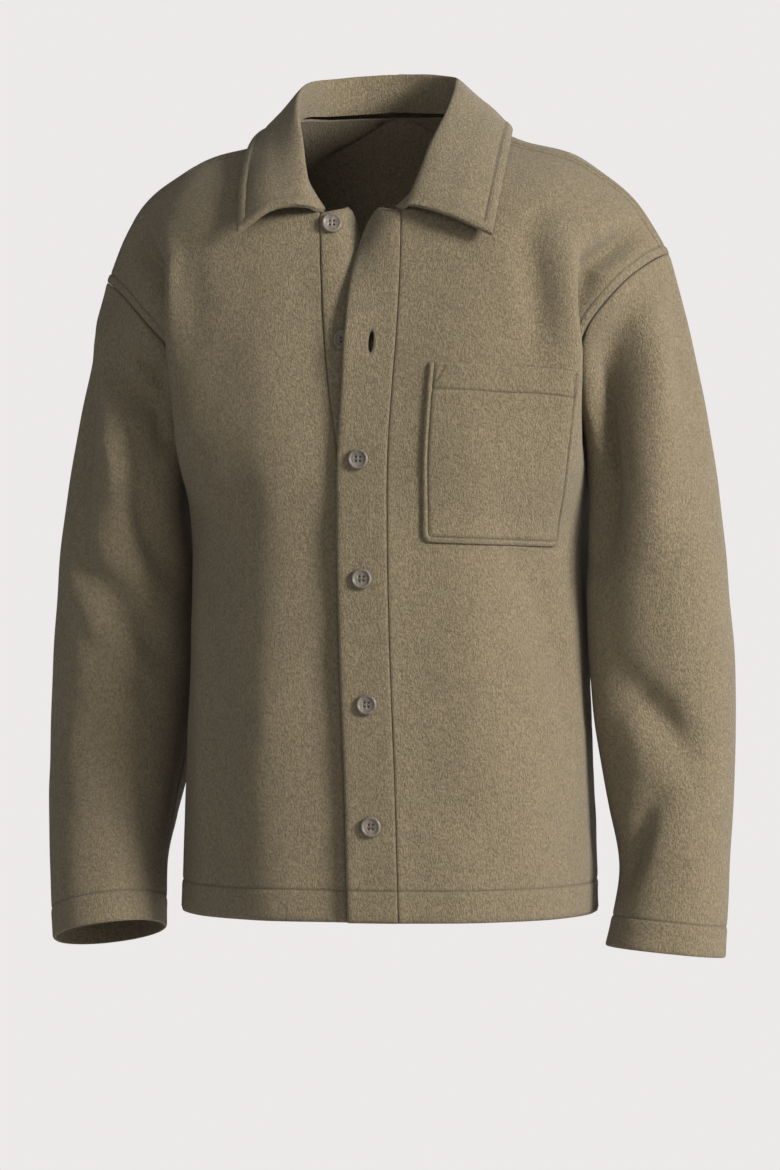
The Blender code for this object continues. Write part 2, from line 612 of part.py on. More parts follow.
def wall(name, outer, normals, thickness, closed=False, skipped=(), joined=(), finish="wool"):
    """A closed solid between an outer grid and the same grid moved in by the cloth's thickness.

    closed joins the last column to the first, cells in skipped are left out, and each pair of
    corners in joined becomes one corner.
    """
    depth = np.broadcast_to(np.asarray(thickness, float), outer.shape[:2])
    inner = outer - normals * depth[..., None]
    rows, columns = outer.shape[:2]
    points = np.concatenate((outer.reshape(-1, 3), inner.reshape(-1, 3)))
    layer = rows * columns
    skipped = set(skipped)
    same = {a[0] * columns + a[1]: b[0] * columns + b[1] for a, b in joined}

    def corner(r, c):
        k = r * columns + c % columns
        return same.get(k, k)

    faces, rim = [], {}
    for r in range(rows - 1):
        for c in range(columns if closed else columns - 1):
            if (r, c) in skipped:
                continue
            ring = (corner(r, c), corner(r, c + 1), corner(r + 1, c + 1), corner(r + 1, c))
            for a, b, d in ((ring[0], ring[1], ring[2]), (ring[0], ring[2], ring[3])):
                faces.append((a, b, d))
                faces.append((d + layer, b + layer, a + layer))
            for a, b in zip(ring, ring[1:] + ring[:1]):
                if (b, a) in rim:
                    del rim[(b, a)]
                else:
                    rim[(a, b)] = True
    for a, b in rim:
        faces.append((b, a, a + layer))
        faces.append((b, a + layer, b + layer))
    used = sorted({k for face in faces for k in face})
    place = {k: n for n, k in enumerate(used)}
    mesh = bpy.data.meshes.new(name)
    corners = [tuple(points[k]) for k in used]
    mesh.from_pydata(corners, [], [tuple(place[k] for k in face) for face in faces])
    return solid_object(name, mesh, finish)


def sleeve_ring(table, k, turns):
    """Points of one level ring of a sleeve, each turn counted from its outer edge to the front."""
    power = 2.0 / SLEEVE_SQUARENESS
    middle = (table["inner"][k] + table["outer"][k]) / 2
    half = (table["outer"][k] - table["inner"][k]) / 2
    cosine, sine = np.cos(turns), np.sin(turns)
    x = half * np.sign(cosine) * np.abs(cosine) ** power
    y = -table["depth"][k] * np.sign(sine) * np.abs(sine) ** power
    z = table["z"][k] - table["slant"][k] * y - table["roll"][k] * x
    return np.stack((middle + x, table["y"][k] + y, z), axis=1)


def sleeve_dense(side, armhole):
    """The outer face of one sleeve in left-side form, from the armhole to the cuff."""
    table = SLEEVES[side]
    points, aims, seam_normals, turns = armhole
    count = len(points)
    low = 1 - eased(-0.250, -0.150, points[:, 2])
    down = unit(np.array([0.30, 0.0, -1.0]))
    aims = unit(aims * (1 - low[:, None]) + down * low[:, None])
    falling = CAP_FALL * eased(-0.230, -0.160, points[:, 2])[:, None]
    fall = unit(aims * (1 - falling) + np.array([0.0, 0.0, -1.0]) * falling)
    start = points + aims * SEAM_GAP * 1.6 + np.array([1.0, 0.0, 0.0]) * (SEAM_GAP * 6.0 * low)[:, None]
    rings = np.stack([sleeve_ring(table, k, turns) for k in range(len(table["z"]))])
    reach = np.linalg.norm(rings[0] - start, axis=1)[:, None]
    down = unit(rings[1] - rings[0])
    t = np.linspace(0.0, 1.0, CAP_DENSE_STEPS, endpoint=False)[:, None, None]
    cap = (
        (1 + 2 * t) * (1 - t) ** 2 * start + t * (1 - t) ** 2 * reach * fall
        + t * t * (3 - 2 * t) * rings[0] + t * t * (t - 1) * reach * down
    )
    heights = -np.array(table["z"])
    lower = through(heights, rings, np.linspace(heights[0], heights[-1], SLEEVE_DENSE_ROWS))
    grid = np.concatenate((cap, lower))
    turned = np.degrees(turns) % 360.0
    around = np.broadcast_to(turned, grid.shape[:2]) / 360.0
    field = np.zeros(grid.shape[:2])
    for wrap in (-1.0, 0.0, 1.0):
        for fold in SLEEVE_FOLDS[side]:
            girthwise = tuple(turn / 360.0 * SLEEVE_GIRTH for turn in fold["turn"])
            scaled = {"s": girthwise, "z": fold["z"], "width": fold["width"], "depth": fold["depth"]}
            field += fold_field((around + wrap) * SLEEVE_GIRTH, grid[..., 2], (scaled,))
    down_sleeve = np.stack([length_along(grid[:, k]) for k in range(count)], axis=1)
    field *= eased(0.004, 0.035, down_sleeve) * eased(0.0, 0.05, down_sleeve[-1] - down_sleeve)
    normals = normals_of(grid, closed=True)
    ring_middle = grid.mean(axis=1, keepdims=True)
    if (normals * (grid - ring_middle)).sum() < 0:
        normals = -normals
    grid = grid + normals * field[..., None]
    normals = normals_of(grid, closed=True)
    if (normals * (grid - ring_middle)).sum() < 0:
        normals = -normals
    shared = (1 - eased(0.0, CAP_SEAM_REACH, down_sleeve)) * (1 - low)
    return grid, unit(normals * (1 - shared[..., None]) + seam_normals * shared[..., None])


def sleeve_grid(side, armhole, steps=SLEEVE_STEPS):
    """The sleeve's outer grid: its hem is the last step down."""
    dense, normals = sleeve_dense(side, armhole)
    both = np.concatenate((dense, normals), axis=2)
    columns = []
    for k in range(both.shape[1]):
        column = respaced_part(both[:, k], lambda n: spread(n, (-HEM,), (steps, 1)), False, False)
        columns.append(column)
    grid = np.stack(columns, axis=1)
    return grid[..., :3], unit(grid[..., 3:])


def neck_seam(side):
    """The neckline in left-side form from the band's top to the nape, with the cloth's normals."""
    grid, normals, stops = half_body(side)
    rows = slice(stops[2], stops[4] + 1)
    edge, up = grid[rows, 0], normals[rows, 1]
    into_neck = np.cross(up, np.gradient(edge, axis=0))
    into_neck = unit(into_neck) * (1 if into_neck[20, 0] < 0 else -1)
    return np.concatenate((edge, up, into_neck), axis=1)


def collar_half(side):
    """The collar's visible face in left-side form, from its front end to the nape."""
    seam = neck_seam(side)
    length = length_along(seam[:, :3])
    u = np.linspace(0.0, 1.0, COLLAR_HALF_COLUMNS)
    seam = np.stack([np.interp(u * length[-1], length, seam[:, k]) for k in range(9)], axis=1)
    stand = seam[:, :3] + seam[:, 6:9] * (COLLAR_SEAM_GAP + COLLAR_PLY) - seam[:, 3:6] * 0.0015
    stand[:, 2] += 0.0012 * (1 - eased(0.0, 0.06, u))
    lines = []
    for name in ("fold", "edge"):
        keys = np.array(COLLAR[side][name])
        knots = length_along(keys)
        lines.append(through(*past_middle(keys, knots / knots[-1])[::-1], u))
    fold, edge = lines
    arch = np.array(COLLAR_ARCH[side]) * (1 - eased(0.0, 0.30, u))[:, None]
    roll = unit(np.cross(np.gradient(fold, axis=0), edge - fold))
    roll = roll if roll[-1, 1] > 0 else -roll
    leaf_middle = (fold + edge) / 2 + roll * COLLAR_LEAF_BULGE[side] + arch
    rise = (stand + fold) / 2 - roll * COLLAR_STAND_LEAN
    keys = np.stack((stand, rise, fold, leaf_middle, edge))
    spans = np.linalg.norm(np.diff(keys, axis=0), axis=2).mean(axis=1)
    knots = np.concatenate(([0.0], np.cumsum(spans)))
    return through(knots / knots[-1], keys, COLLAR_ACROSS).transpose(1, 0, 2)


def collar_grid():
    """The whole collar's visible face from the wearer's left front end round to the right."""
    left = collar_half("left")
    right = mirrored(collar_half("right"))[::-1]
    middle = (left[-1:] + right[:1]) / 2
    grid = np.concatenate((left[:-1], middle, right[1:]))
    normals = normals_of(grid)
    if normals[COLLAR_HALF_COLUMNS - 1, -1, 1] < 0:
        normals = -normals
    return grid, normals


def band_grid(side, seam, places):
    """A button band's outer grid in left-side form: places are distances across from the seam.

    seam holds points of the front's edge and the front's normals there, which the band shares.
    """
    edge = seam[:, :3]
    fine = np.linspace(0.0, 1.0, 61)
    curl = np.radians(through(BAND_CURL["z"], BAND_CURL[side], edge[:, 2]))
    angle = curl[:, None] * fine ** 1.2
    step = PLACKET_WIDTH / 60
    run = np.cumsum(np.cos(angle[:, :-1]) * step, axis=1)
    into = np.cumsum(np.sin(angle[:, :-1]) * step, axis=1)
    nothing = np.zeros((len(edge), 1))
    run, into = np.concatenate((nothing, run), axis=1), np.concatenate((nothing, into), axis=1)
    t = np.asarray(places) / PLACKET_WIDTH
    grid = np.empty((len(edge), len(places), 3))
    for r, point in enumerate(edge):
        grid[r, :, 0] = point[0] - np.interp(t, fine, run[r])
        grid[r, :, 1] = point[1] - PLACKET_RISE + np.interp(t, fine, into[r])
        grid[r, :, 2] = point[2]
    over_button = np.exp(-(((edge[:, 2] - BUTTONS["z"][1]) / BAND_LIFT_REACH) ** 2))[:, None]
    grid[..., 1] -= BAND_LIFT[side] * over_button * t ** 2
    near_top = eased(-0.160, -0.095, edge[:, 2])[:, None]
    grid[..., 2] += BAND_TOP_RISE[side] * near_top * t
    normals = normals_of(grid)
    if normals[0, 0, 1] > 0:
        normals = -normals
    shared = (1 - eased(0.0, BAND_SEAM_REACH, np.asarray(places)))[:, None]
    return grid, unit(normals * (1 - shared) + seam[:, None, 3:] * shared)


def band_places(side):
    if side == "right":
        return np.linspace(SEAM_GAP, PLACKET_WIDTH, 5)
    slit = BUTTONHOLE_GAP / 2
    inner, outer = BUTTONHOLE_FROM_SEAM - slit, BUTTONHOLE_FROM_SEAM + slit
    return np.array([SEAM_GAP, inner * 0.55, inner, outer, outer + 0.009, PLACKET_WIDTH])


def band_rows(side, panel):
    """The band's seam, from the front's own edge points and normals, with rows at the buttonhole."""
    count = 1 + sum(FRONT_STEPS[side][:-1])
    edge = np.concatenate((panel[0][:count, 0], panel[1][:count, 0]), axis=1)
    if side == "left":
        along = length_along(edge[:, :3])
        ends = [np.interp(BUTTONHOLE_Z + k * BUTTONHOLE_LENGTH / 2, edge[:, 2], along) for k in (-1, 1)]
        apart = np.min(np.abs(along[:, None] - np.array(ends)), axis=1) > 0.004
        along_new = np.sort(np.concatenate((along[apart], ends)))
        edge = np.stack([np.interp(along_new, along, edge[:, k]) for k in range(6)], axis=1)
    return edge


def ring_of(work, middle, radius, height, sides):
    """A level ring of new corners round a middle point."""
    turns = [2 * math.pi * (k + 0.5) / sides for k in range(sides)]
    x, y = middle
    return [work.verts.new((x + radius * math.cos(a), y + radius * math.sin(a), height)) for a in turns]


def button(name, centre, normal):
    """A round four-hole button with a raised rim, its back resting just off the cloth."""
    radius = BUTTON_WIDTH / 2
    profile = (
        (radius * 0.86, 0.0), (radius, 0.0009), (radius, 0.0022), (radius * 0.90, BUTTON_THICKNESS),
        (radius * 0.76, BUTTON_THICKNESS - 0.0003), (radius * 0.62, BUTTON_THICKNESS - 0.0010),
    )
    sides = BUTTON_SIDES
    work = bmesh.new()
    rings = [ring_of(work, (0.0, 0.0), r, height, sides) for r, height in profile]
    for low, high in zip(rings, rings[1:]):
        for k in range(sides):
            work.faces.new((low[k], low[(k + 1) % sides], high[(k + 1) % sides], high[k]))
    plates = {}
    for level, ring in ((0, rings[0]), (1, rings[-1])):
        plates[level] = [work.edges.get((ring[k], ring[(k + 1) % sides])) for k in range(sides)]
    for hx, hy in ((1, 1), (-1, 1), (-1, -1), (1, -1)):
        middle = (hx * BUTTON_HOLE["offset"], hy * BUTTON_HOLE["offset"])
        count = BUTTON_HOLE["sides"]
        pair = []
        for level, height in ((0, 0.0), (1, profile[-1][1])):
            hole = ring_of(work, middle, BUTTON_HOLE["radius"], height, count)
            plates[level] += [work.edges.new((hole[k], hole[(k + 1) % count])) for k in range(count)]
            pair.append(hole)
        for k in range(count):
            after = (k + 1) % count
            work.faces.new((pair[0][k], pair[1][k], pair[1][after], pair[0][after]))
    for level in (0, 1):
        bmesh.ops.triangle_fill(work, use_beauty=True, use_dissolve=False, edges=plates[level])
    bmesh.ops.triangulate(work, faces=work.faces)
    up = unit(np.asarray(normal, float))
    side = unit(np.cross(np.array([0.0, 0.0, 1.0]), up))
    top = np.cross(up, side)
    for vert in work.verts:
        x, y, z = vert.co
        vert.co = centre + side * x + top * y + up * (z + SEAM_GAP)
    mesh = bpy.data.meshes.new(name)
    work.to_mesh(mesh)
    work.free()
    return solid_object(name, mesh, "button")


def button_seats(seams):
    """Where each button touches its band, and the band's normal there."""
    seats = []
    for z, side, from_seam in zip(BUTTONS["z"], BUTTONS["band"], BUTTONS["from_seam"]):
        levels = np.array([z - 0.004, z, z + 0.004])
        seam = seams[side]
        seam = np.stack([np.interp(levels, seam[:, 2], seam[:, k]) for k in range(6)], axis=1)
        grid, normals = band_grid(side, seam, (from_seam - 0.004, from_seam, from_seam + 0.004))
        place, normal = grid[1, 1], normals[1, 1]
        if side == "right":
            place, normal = mirrored(place), mirrored(normal)
        seats.append((place, normal))
    return seats


def main():
    for old in list(bpy.data.objects):
        bpy.data.objects.remove(old, do_unlink=True)
    seams, armholes = {}, {}
    for side in ("left", "right"):
        panel = front_grid(side)
        armholes[side] = armhole_of(side, panel, back_half(side))
        grid, normals = panel[:2]
        out = (grid, normals) if side == "left" else (mirrored(grid), mirrored(normals))
        wall("front_" + side, *out, CLOTH)
        edge = band_rows(side, panel)
        seams[side] = edge
        band, band_normals = band_grid(side, edge, band_places(side))
        holes = ()
        if side == "left":
            ends = [BUTTONHOLE_Z + k * BUTTONHOLE_LENGTH / 2 for k in (-1, 1)]
            first, last = [int(np.argmin(np.abs(edge[:, 2] - z))) for z in ends]
            holes = [(r, 2) for r in range(first, last)]
        else:
            band, band_normals = mirrored(band), mirrored(band_normals)
        wall("placket_" + side, band, band_normals, PLACKET_PLY, skipped=holes)
        if side == "left":
            cells = grid[POCKET_ROWS, POCKET_COLUMNS]
            cell_normals = normals[POCKET_ROWS, POCKET_COLUMNS]
            lifted = cells + cell_normals * (SEAM_GAP + POCKET_PLY)
            wall("pocket", lifted, cell_normals, POCKET_PLY)
    grid, normals, middle, nape = back_grid()
    rows = grid.shape[0]
    pairs = [((r, middle + 1), (r, middle)) for r in range(nape, rows)]
    wall("back", grid, normals, CLOTH, skipped=[(r, middle) for r in range(rows)], joined=pairs)
    for side in ("left", "right"):
        grid, normals = sleeve_grid(side, armholes[side])
        if side == "right":
            grid, normals = mirrored(grid), mirrored(normals)
        wall("sleeve_" + side, grid, normals, CLOTH, closed=True)
    grid, normals = collar_grid()
    wall("collar", grid, normals, COLLAR_PLY)
    for n, (centre, normal) in enumerate(button_seats(seams)):
        button("button_%d" % (n + 1), centre, normal)


main()
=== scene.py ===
"""A boxy shacket in napped wool: worn form, seams, topstitching, buttons and a plain studio.

Each cloth piece is a wall: a grid of points on its outer face, lifted or pressed along its seams,
and the same grid moved in by the cloth's thickness.
"""

import collections
import functools
import math

import bmesh
import bpy
import numpy as np
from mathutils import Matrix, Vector, kdtree


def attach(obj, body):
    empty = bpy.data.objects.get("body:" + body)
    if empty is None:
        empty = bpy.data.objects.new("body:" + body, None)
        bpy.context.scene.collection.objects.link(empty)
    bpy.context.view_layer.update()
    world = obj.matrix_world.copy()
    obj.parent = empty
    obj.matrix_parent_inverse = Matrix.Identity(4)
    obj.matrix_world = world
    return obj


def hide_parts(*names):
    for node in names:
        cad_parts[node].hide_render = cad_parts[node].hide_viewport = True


bl_info = {
    "name": "Wool shacket",
    "version": (1, 0, 0),
    "blender": (4, 5, 0),
    "location": "3D View > Sidebar > Shacket",
    "description": "Builds an empty, worn shacket with its seams, stitching, buttons and a plain studio",
    "category": "Object",
}

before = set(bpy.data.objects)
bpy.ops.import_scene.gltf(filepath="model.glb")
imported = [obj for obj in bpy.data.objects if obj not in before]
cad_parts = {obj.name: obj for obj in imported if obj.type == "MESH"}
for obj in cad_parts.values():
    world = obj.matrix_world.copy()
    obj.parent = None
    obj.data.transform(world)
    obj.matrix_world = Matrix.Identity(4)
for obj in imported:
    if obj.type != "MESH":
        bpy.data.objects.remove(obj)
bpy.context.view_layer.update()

SIDES = ("left", "right")

# Shape of the garment, in metres, as its solid model has it
SEAM_GAP = 0.0003
COLLAR_SEAM_GAP = 0.0016
PLACKET_WIDTH = 0.042
PLACKET_PLY = 0.0042
PLACKET_RISE = 0.0008
COLLAR_PLY = 0.0038
COLLAR_LEAF_BULGE = {"left": 0.0045, "right": 0.0015}
COLLAR_STAND_LEAN = 0.0020
POCKET_PLY = 0.0024
POCKET_FROM_PLACKET = 0.029
POCKET_WIDTH = 0.125
POCKET_TOP_Z = -0.2233
POCKET_HEIGHT = 0.1465
SIDE_SEAM_Y = 0.004
BUTTON_THICKNESS = 0.0032
BUTTONHOLE_LENGTH = 0.018
BUTTONHOLE_GAP = 0.0042
BUTTONHOLE_Z = -0.2060
BUTTONHOLE_FROM_SEAM = 0.0200
# The over band's free edge rides over the second button: how far, and over how much height
BAND_LIFT = {"left": 0.0052, "right": 0.0}
BAND_LIFT_REACH = 0.034
BAND_SEAM_REACH = 0.012
BAND_TOP_RISE = {"left": 0.0060, "right": 0.0080}
COLLAR_ARCH = {"left": (0.0, -0.001, 0.001), "right": (0.0, -0.002, 0.008)}

# Level sections of the body below the underarm, from the hem up
BODY_LEVELS = {
    "z": (-0.680, -0.565, -0.450, -0.355),
    "half_width": (0.1775, 0.1735, 0.1695, 0.1692),
    "front": (0.1450, 0.1405, 0.1330, 0.1280),
    "back": (0.1280, 0.1200, 0.1130, 0.1170),
    "side_drop": (0.0, 0.0, 0.0020, 0.0050),
}
LEVEL_SQUARENESS = 2.25
LEVEL_ANGLES = (32.0, 58.0, 76.0, 90.0)

# Where each front meets its button band, from the hem up: the two part above the third button
OPENING = {
    "z": (-0.680, -0.580, -0.500, -0.385, -0.300, -0.240, -0.172, -0.097),
    "left": (0.0270, 0.0240, 0.0200, 0.0160, 0.0155, 0.0190, 0.0235, 0.0240),
    "right": (0.0155, 0.0185, 0.0225, 0.0262, 0.0265, 0.0345, 0.0403, 0.0448),
}

# Rows of the upper front, from the underarm to the shoulder seam, as x, y, z on the left side
UPPER_FRONT = {
    "edge_y": (-0.1265, -0.1250, -0.1215, -0.1150),
    "edge_z": (-0.300, -0.250, -0.195, -0.145),
    "breast": (
        (0.100, -0.1195, -0.302), (0.100, -0.1190, -0.253), (0.100, -0.1170, -0.199),
        (0.100, -0.1120, -0.153), (0.098, -0.1010, -0.107), (0.108, -0.0730, -0.064),
        (0.115, -0.0260, -0.0355),
    ),
}
FRONT_SIDES = {
    "left": {
        "fold": (
            (0.1655, -0.0790, -0.305), (0.1685, -0.0880, -0.258), (0.1690, -0.0950, -0.207),
            (0.1645, -0.1005, -0.165), (0.1620, -0.0935, -0.124), (0.1665, -0.0650, -0.082),
            (0.1715, -0.0250, -0.0550),
        ),
        "upper_arm": (
            (0.1690, -0.0380, -0.309), (0.1660, -0.0560, -0.268), (0.1640, -0.0740, -0.217),
            (0.1690, -0.0850, -0.180), (0.1810, -0.0790, -0.142), (0.1980, -0.0560, -0.107),
            (0.2110, -0.0190, -0.0860),
        ),
        "armhole": (
            (0.1705, 0.0040, -0.312), (0.1655, -0.0300, -0.277), (0.1635, -0.0570, -0.230),
            (0.1735, -0.0745, -0.194), (0.1985, -0.0690, -0.161), (0.2195, -0.0450, -0.1400),
            (0.2365, -0.0130, -0.1275),
        ),
    },
    "right": {
        "fold": (
            (0.1655, -0.0790, -0.305), (0.1705, -0.0885, -0.260), (0.1740, -0.0945, -0.213),
            (0.1790, -0.0965, -0.177), (0.1800, -0.0900, -0.136), (0.1775, -0.0640, -0.090),
            (0.1745, -0.0250, -0.0565),
        ),
        "upper_arm": (
            (0.1690, -0.0380, -0.309), (0.1670, -0.0560, -0.273), (0.1690, -0.0740, -0.226),
            (0.1800, -0.0800, -0.194), (0.1960, -0.0740, -0.157), (0.2080, -0.0530, -0.120),
            (0.2160, -0.0190, -0.0910),
        ),
        "armhole": (
            (0.1705, 0.0040, -0.312), (0.1660, -0.0300, -0.284), (0.1665, -0.0550, -0.242),
            (0.1765, -0.0700, -0.209), (0.1995, -0.0690, -0.183), (0.2225, -0.0460, -0.160),
            (0.2425, -0.0130, -0.1460),
        ),
    },
}

# The neckline of each front, from the top of its button band to the shoulder seam
NECKLINE = {
    "left": ((0.0240, -0.1065, -0.0965), (0.0525, -0.0760, -0.0580), (0.0700, -0.0200, -0.0150)),
    "right": ((0.0448, -0.1045, -0.0975), (0.0690, -0.0740, -0.0570), (0.0800, -0.0200, -0.0150)),
}

# Rows of the upper back, from just behind the shoulder seam down to the underarm
UPPER_BACK = {
    "edge": (
        (0.0540, 0.0400, -0.0030), (0.0, 0.0620, 0.0), (0.0, 0.0940, -0.060), (0.0, 0.1100, -0.130),
        (0.0, 0.1185, -0.200), (0.0, 0.1200, -0.275),
    ),
    "breast": (
        (0.108, 0.0420, -0.0305), (0.100, 0.0780, -0.050), (0.100, 0.1030, -0.095), (0.100, 0.1120, -0.150),
        (0.100, 0.1150, -0.210), (0.100, 0.1140, -0.277),
    ),
    "fold": (
        (0.168, 0.0430, -0.0520), (0.160, 0.0760, -0.075), (0.158, 0.0920, -0.120), (0.158, 0.0940, -0.170),
        (0.160, 0.0880, -0.224), (0.160, 0.0760, -0.284),
    ),
    "upper_arm": (
        (0.208, 0.0400, -0.0920), (0.195, 0.0660, -0.115), (0.182, 0.0840, -0.150), (0.175, 0.0820, -0.192),
        (0.1730, 0.0640, -0.236), (0.1715, 0.0400, -0.296),
    ),
}
BACK_ARMHOLE = {
    "left": (
        (0.231, 0.0340, -0.1370), (0.214, 0.0600, -0.150), (0.192, 0.0790, -0.178), (0.179, 0.0740, -0.210),
        (0.1728, 0.0480, -0.252), (0.1705, 0.0040, -0.312),
    ),
    "right": (
        (0.236, 0.0340, -0.1540), (0.217, 0.0600, -0.166), (0.193, 0.0790, -0.190), (0.179, 0.0740, -0.218),
        (0.1728, 0.0480, -0.256), (0.1705, 0.0040, -0.312),
    ),
}
COLUMN_KEYS = (0.0, 0.42, 0.71, 0.87, 1.0)

# Rings of each sleeve below the armhole, as distances from the middle of the body; slant drops the
# back of a ring and roll drops its outer edge, both as slopes
SLEEVES = {
    "left": {
        "z": (-0.400, -0.470, -0.540, -0.600, -0.650, -0.690, -0.711),
        "inner": (0.1712, 0.1728, 0.1790, 0.1885, 0.1960, 0.1900, 0.1850),
        "outer": (0.2868, 0.2920, 0.2928, 0.2905, 0.2880, 0.2865, 0.2855),
        "y": (-0.002, 0.004, 0.005, 0.000, -0.007, -0.016, -0.021),
        "depth": (0.069, 0.064, 0.060, 0.056, 0.053, 0.051, 0.050),
        "slant": (0.0, 0.0, 0.02, 0.04, 0.05, 0.06, 0.06),
        "roll": (0.0, 0.0, 0.02, 0.05, 0.08, 0.09, 0.095),
    },
    "right": {
        "z": (-0.400, -0.470, -0.540, -0.600, -0.645, -0.680, -0.699),
        "inner": (0.1712, 0.1728, 0.1785, 0.1865, 0.1890, 0.1870, 0.1850),
        "outer": (0.2890, 0.2950, 0.2962, 0.2930, 0.2875, 0.2830, 0.2805),
        "y": (0.014, 0.020, 0.012, -0.006, -0.024, -0.038, -0.046),
        "depth": (0.070, 0.066, 0.061, 0.056, 0.053, 0.051, 0.050),
        "slant": (0.0, 0.0, 0.05, 0.12, 0.18, 0.23, 0.25),
        "roll": (0.0, 0.0, 0.04, 0.09, 0.13, 0.15, 0.16),
    },
}
SLEEVE_SQUARENESS = 2.15
# How much of each sleeve's aim at the armhole is straight down, and how far it shares the seam's normals
CAP_FALL = 0.45
CAP_SEAM_REACH = 0.020

# The collar on each side, from its front end to the nape: fold line and outer edge
COLLAR = {
    "left": {
        "fold": (
            (0.0300, -0.1150, -0.0925), (0.0430, -0.0900, -0.0480), (0.0580, -0.0250, 0.0140),
            (0.0440, 0.0330, 0.0300), (0.0, 0.0500, 0.0350),
        ),
        "edge": (
            (0.1010, -0.1200, -0.1180), (0.1060, -0.0930, -0.0760), (0.1085, -0.0400, -0.0310),
            (0.1050, 0.0020, -0.0170), (0.0880, 0.0560, -0.0140), (0.0, 0.0930, -0.0220),
        ),
    },
    "right": {
        "fold": (
            (0.0510, -0.1130, -0.0930), (0.0600, -0.0880, -0.0460), (0.0705, -0.0250, 0.0150),
            (0.0500, 0.0330, 0.0300), (0.0, 0.0500, 0.0350),
        ),
        "edge": (
            (0.1120, -0.1150, -0.1140), (0.1150, -0.0880, -0.0720), (0.1140, -0.0400, -0.0310),
            (0.1090, 0.0020, -0.0180), (0.0910, 0.0560, -0.0150), (0.0, 0.0930, -0.0220),
        ),
    },
}

# How far each band's free edge curls in towards the neck, in degrees, from the hem up
BAND_CURL = {
    "z": (-0.680, -0.300, -0.270, -0.240, -0.200, -0.155, -0.127, -0.107, -0.090),
    "left": (0.0, 0.0, 0.0, 0.0, 0.0, 10.0, 50.0, 90.0, 150.0),
    "right": (0.0, 0.0, 0.0, 1.0, 14.0, 44.0, 72.0, 100.0, 140.0),
}
CURL_STEPS = 60

# Buttons, from the neck down: the first two show on the open under band
BUTTONS = {
    "z": (-0.1085, -0.2041, -0.3022, -0.4000, -0.5026, -0.6017),
    "band": ("right", "right", "left", "left", "left", "left"),
    "from_seam": (0.0100, 0.0160, 0.0240, 0.0215, 0.0205, 0.0205),
}

# Soft folds of each front, as distance from the button band's seam and height, start to end
FRONT_FOLDS = {
    "left": (
        {"s": (0.106, 0.118), "z": (-0.100, -0.215), "width": 0.015, "depth": -0.0090},
        {"s": (0.149, 0.150), "z": (-0.105, -0.330), "width": 0.015, "depth": 0.0030},
        {"s": (0.173, 0.166), "z": (-0.092, -0.190), "width": 0.011, "depth": -0.0140},
        {"s": (0.105, 0.172), "z": (-0.360, -0.520), "width": 0.024, "depth": -0.0075},
        {"s": (0.070, 0.110), "z": (-0.430, -0.640), "width": 0.032, "depth": 0.0040},
    ),
    "right": (
        {"s": (0.112, 0.116), "z": (-0.105, -0.200), "width": 0.016, "depth": -0.0030},
        {"s": (0.150, 0.155), "z": (-0.110, -0.195), "width": 0.010, "depth": -0.0130},
        {"s": (0.150, 0.146), "z": (-0.380, -0.640), "width": 0.015, "depth": 0.0035},
        {"s": (0.118, 0.112), "z": (-0.420, -0.660), "width": 0.020, "depth": -0.0030},
    ),
}
BACK_FOLDS = (
    {"s": (-0.135, -0.120), "z": (-0.200, -0.560), "width": 0.024, "depth": -0.0050},
    {"s": (0.130, 0.118), "z": (-0.180, -0.600), "width": 0.022, "depth": -0.0045},
    {"s": (-0.070, -0.085), "z": (-0.330, -0.660), "width": 0.026, "depth": 0.0035},
    {"s": (0.060, 0.075), "z": (-0.380, -0.660), "width": 0.030, "depth": 0.0035},
)
# Folds of each sleeve, as the angle round it from its outer edge towards the front, and height
SLEEVE_FOLDS = {
    "left": (
        {"turn": (40.0, 140.0), "z": (-0.130, -0.385), "width": 0.014, "depth": -0.0190},
        {"turn": (16.0, 88.0), "z": (-0.120, -0.380), "width": 0.012, "depth": 0.0080},
        {"turn": (148.0, 150.0), "z": (-0.290, -0.590), "width": 0.016, "depth": 0.0075},
        {"turn": (112.0, 66.0), "z": (-0.485, -0.550), "width": 0.016, "depth": -0.0120},
        {"turn": (100.0, 150.0), "z": (-0.585, -0.655), "width": 0.012, "depth": -0.0090},
        {"turn": (230.0, 200.0), "z": (-0.430, -0.480), "width": 0.016, "depth": -0.0050},
        {"turn": (300.0, 285.0), "z": (-0.200, -0.400), "width": 0.018, "depth": -0.0050},
    ),
    "right": (
        {"turn": (8.0, 64.0), "z": (-0.215, -0.400), "width": 0.012, "depth": -0.0090},
        {"turn": (8.0, 36.0), "z": (-0.150, -0.245), "width": 0.010, "depth": 0.0080},
        {"turn": (36.0, 92.0), "z": (-0.240, -0.350), "width": 0.011, "depth": 0.0100},
        {"turn": (50.0, 104.0), "z": (-0.200, -0.252), "width": 0.009, "depth": -0.0110},
        {"turn": (42.0, 118.0), "z": (-0.222, -0.290), "width": 0.010, "depth": -0.0120},
        {"turn": (66.0, 132.0), "z": (-0.385, -0.465), "width": 0.014, "depth": -0.0105},
        {"turn": (88.0, 140.0), "z": (-0.325, -0.395), "width": 0.013, "depth": -0.0100},
        {"turn": (60.0, 110.0), "z": (-0.510, -0.560), "width": 0.020, "depth": -0.0035},
        {"turn": (214.0, 218.0), "z": (-0.330, -0.600), "width": 0.024, "depth": 0.0140},
        {"turn": (285.0, 255.0), "z": (-0.430, -0.470), "width": 0.016, "depth": -0.0050},
        {"turn": (300.0, 285.0), "z": (-0.200, -0.400), "width": 0.018, "depth": -0.0050},
    ),
}
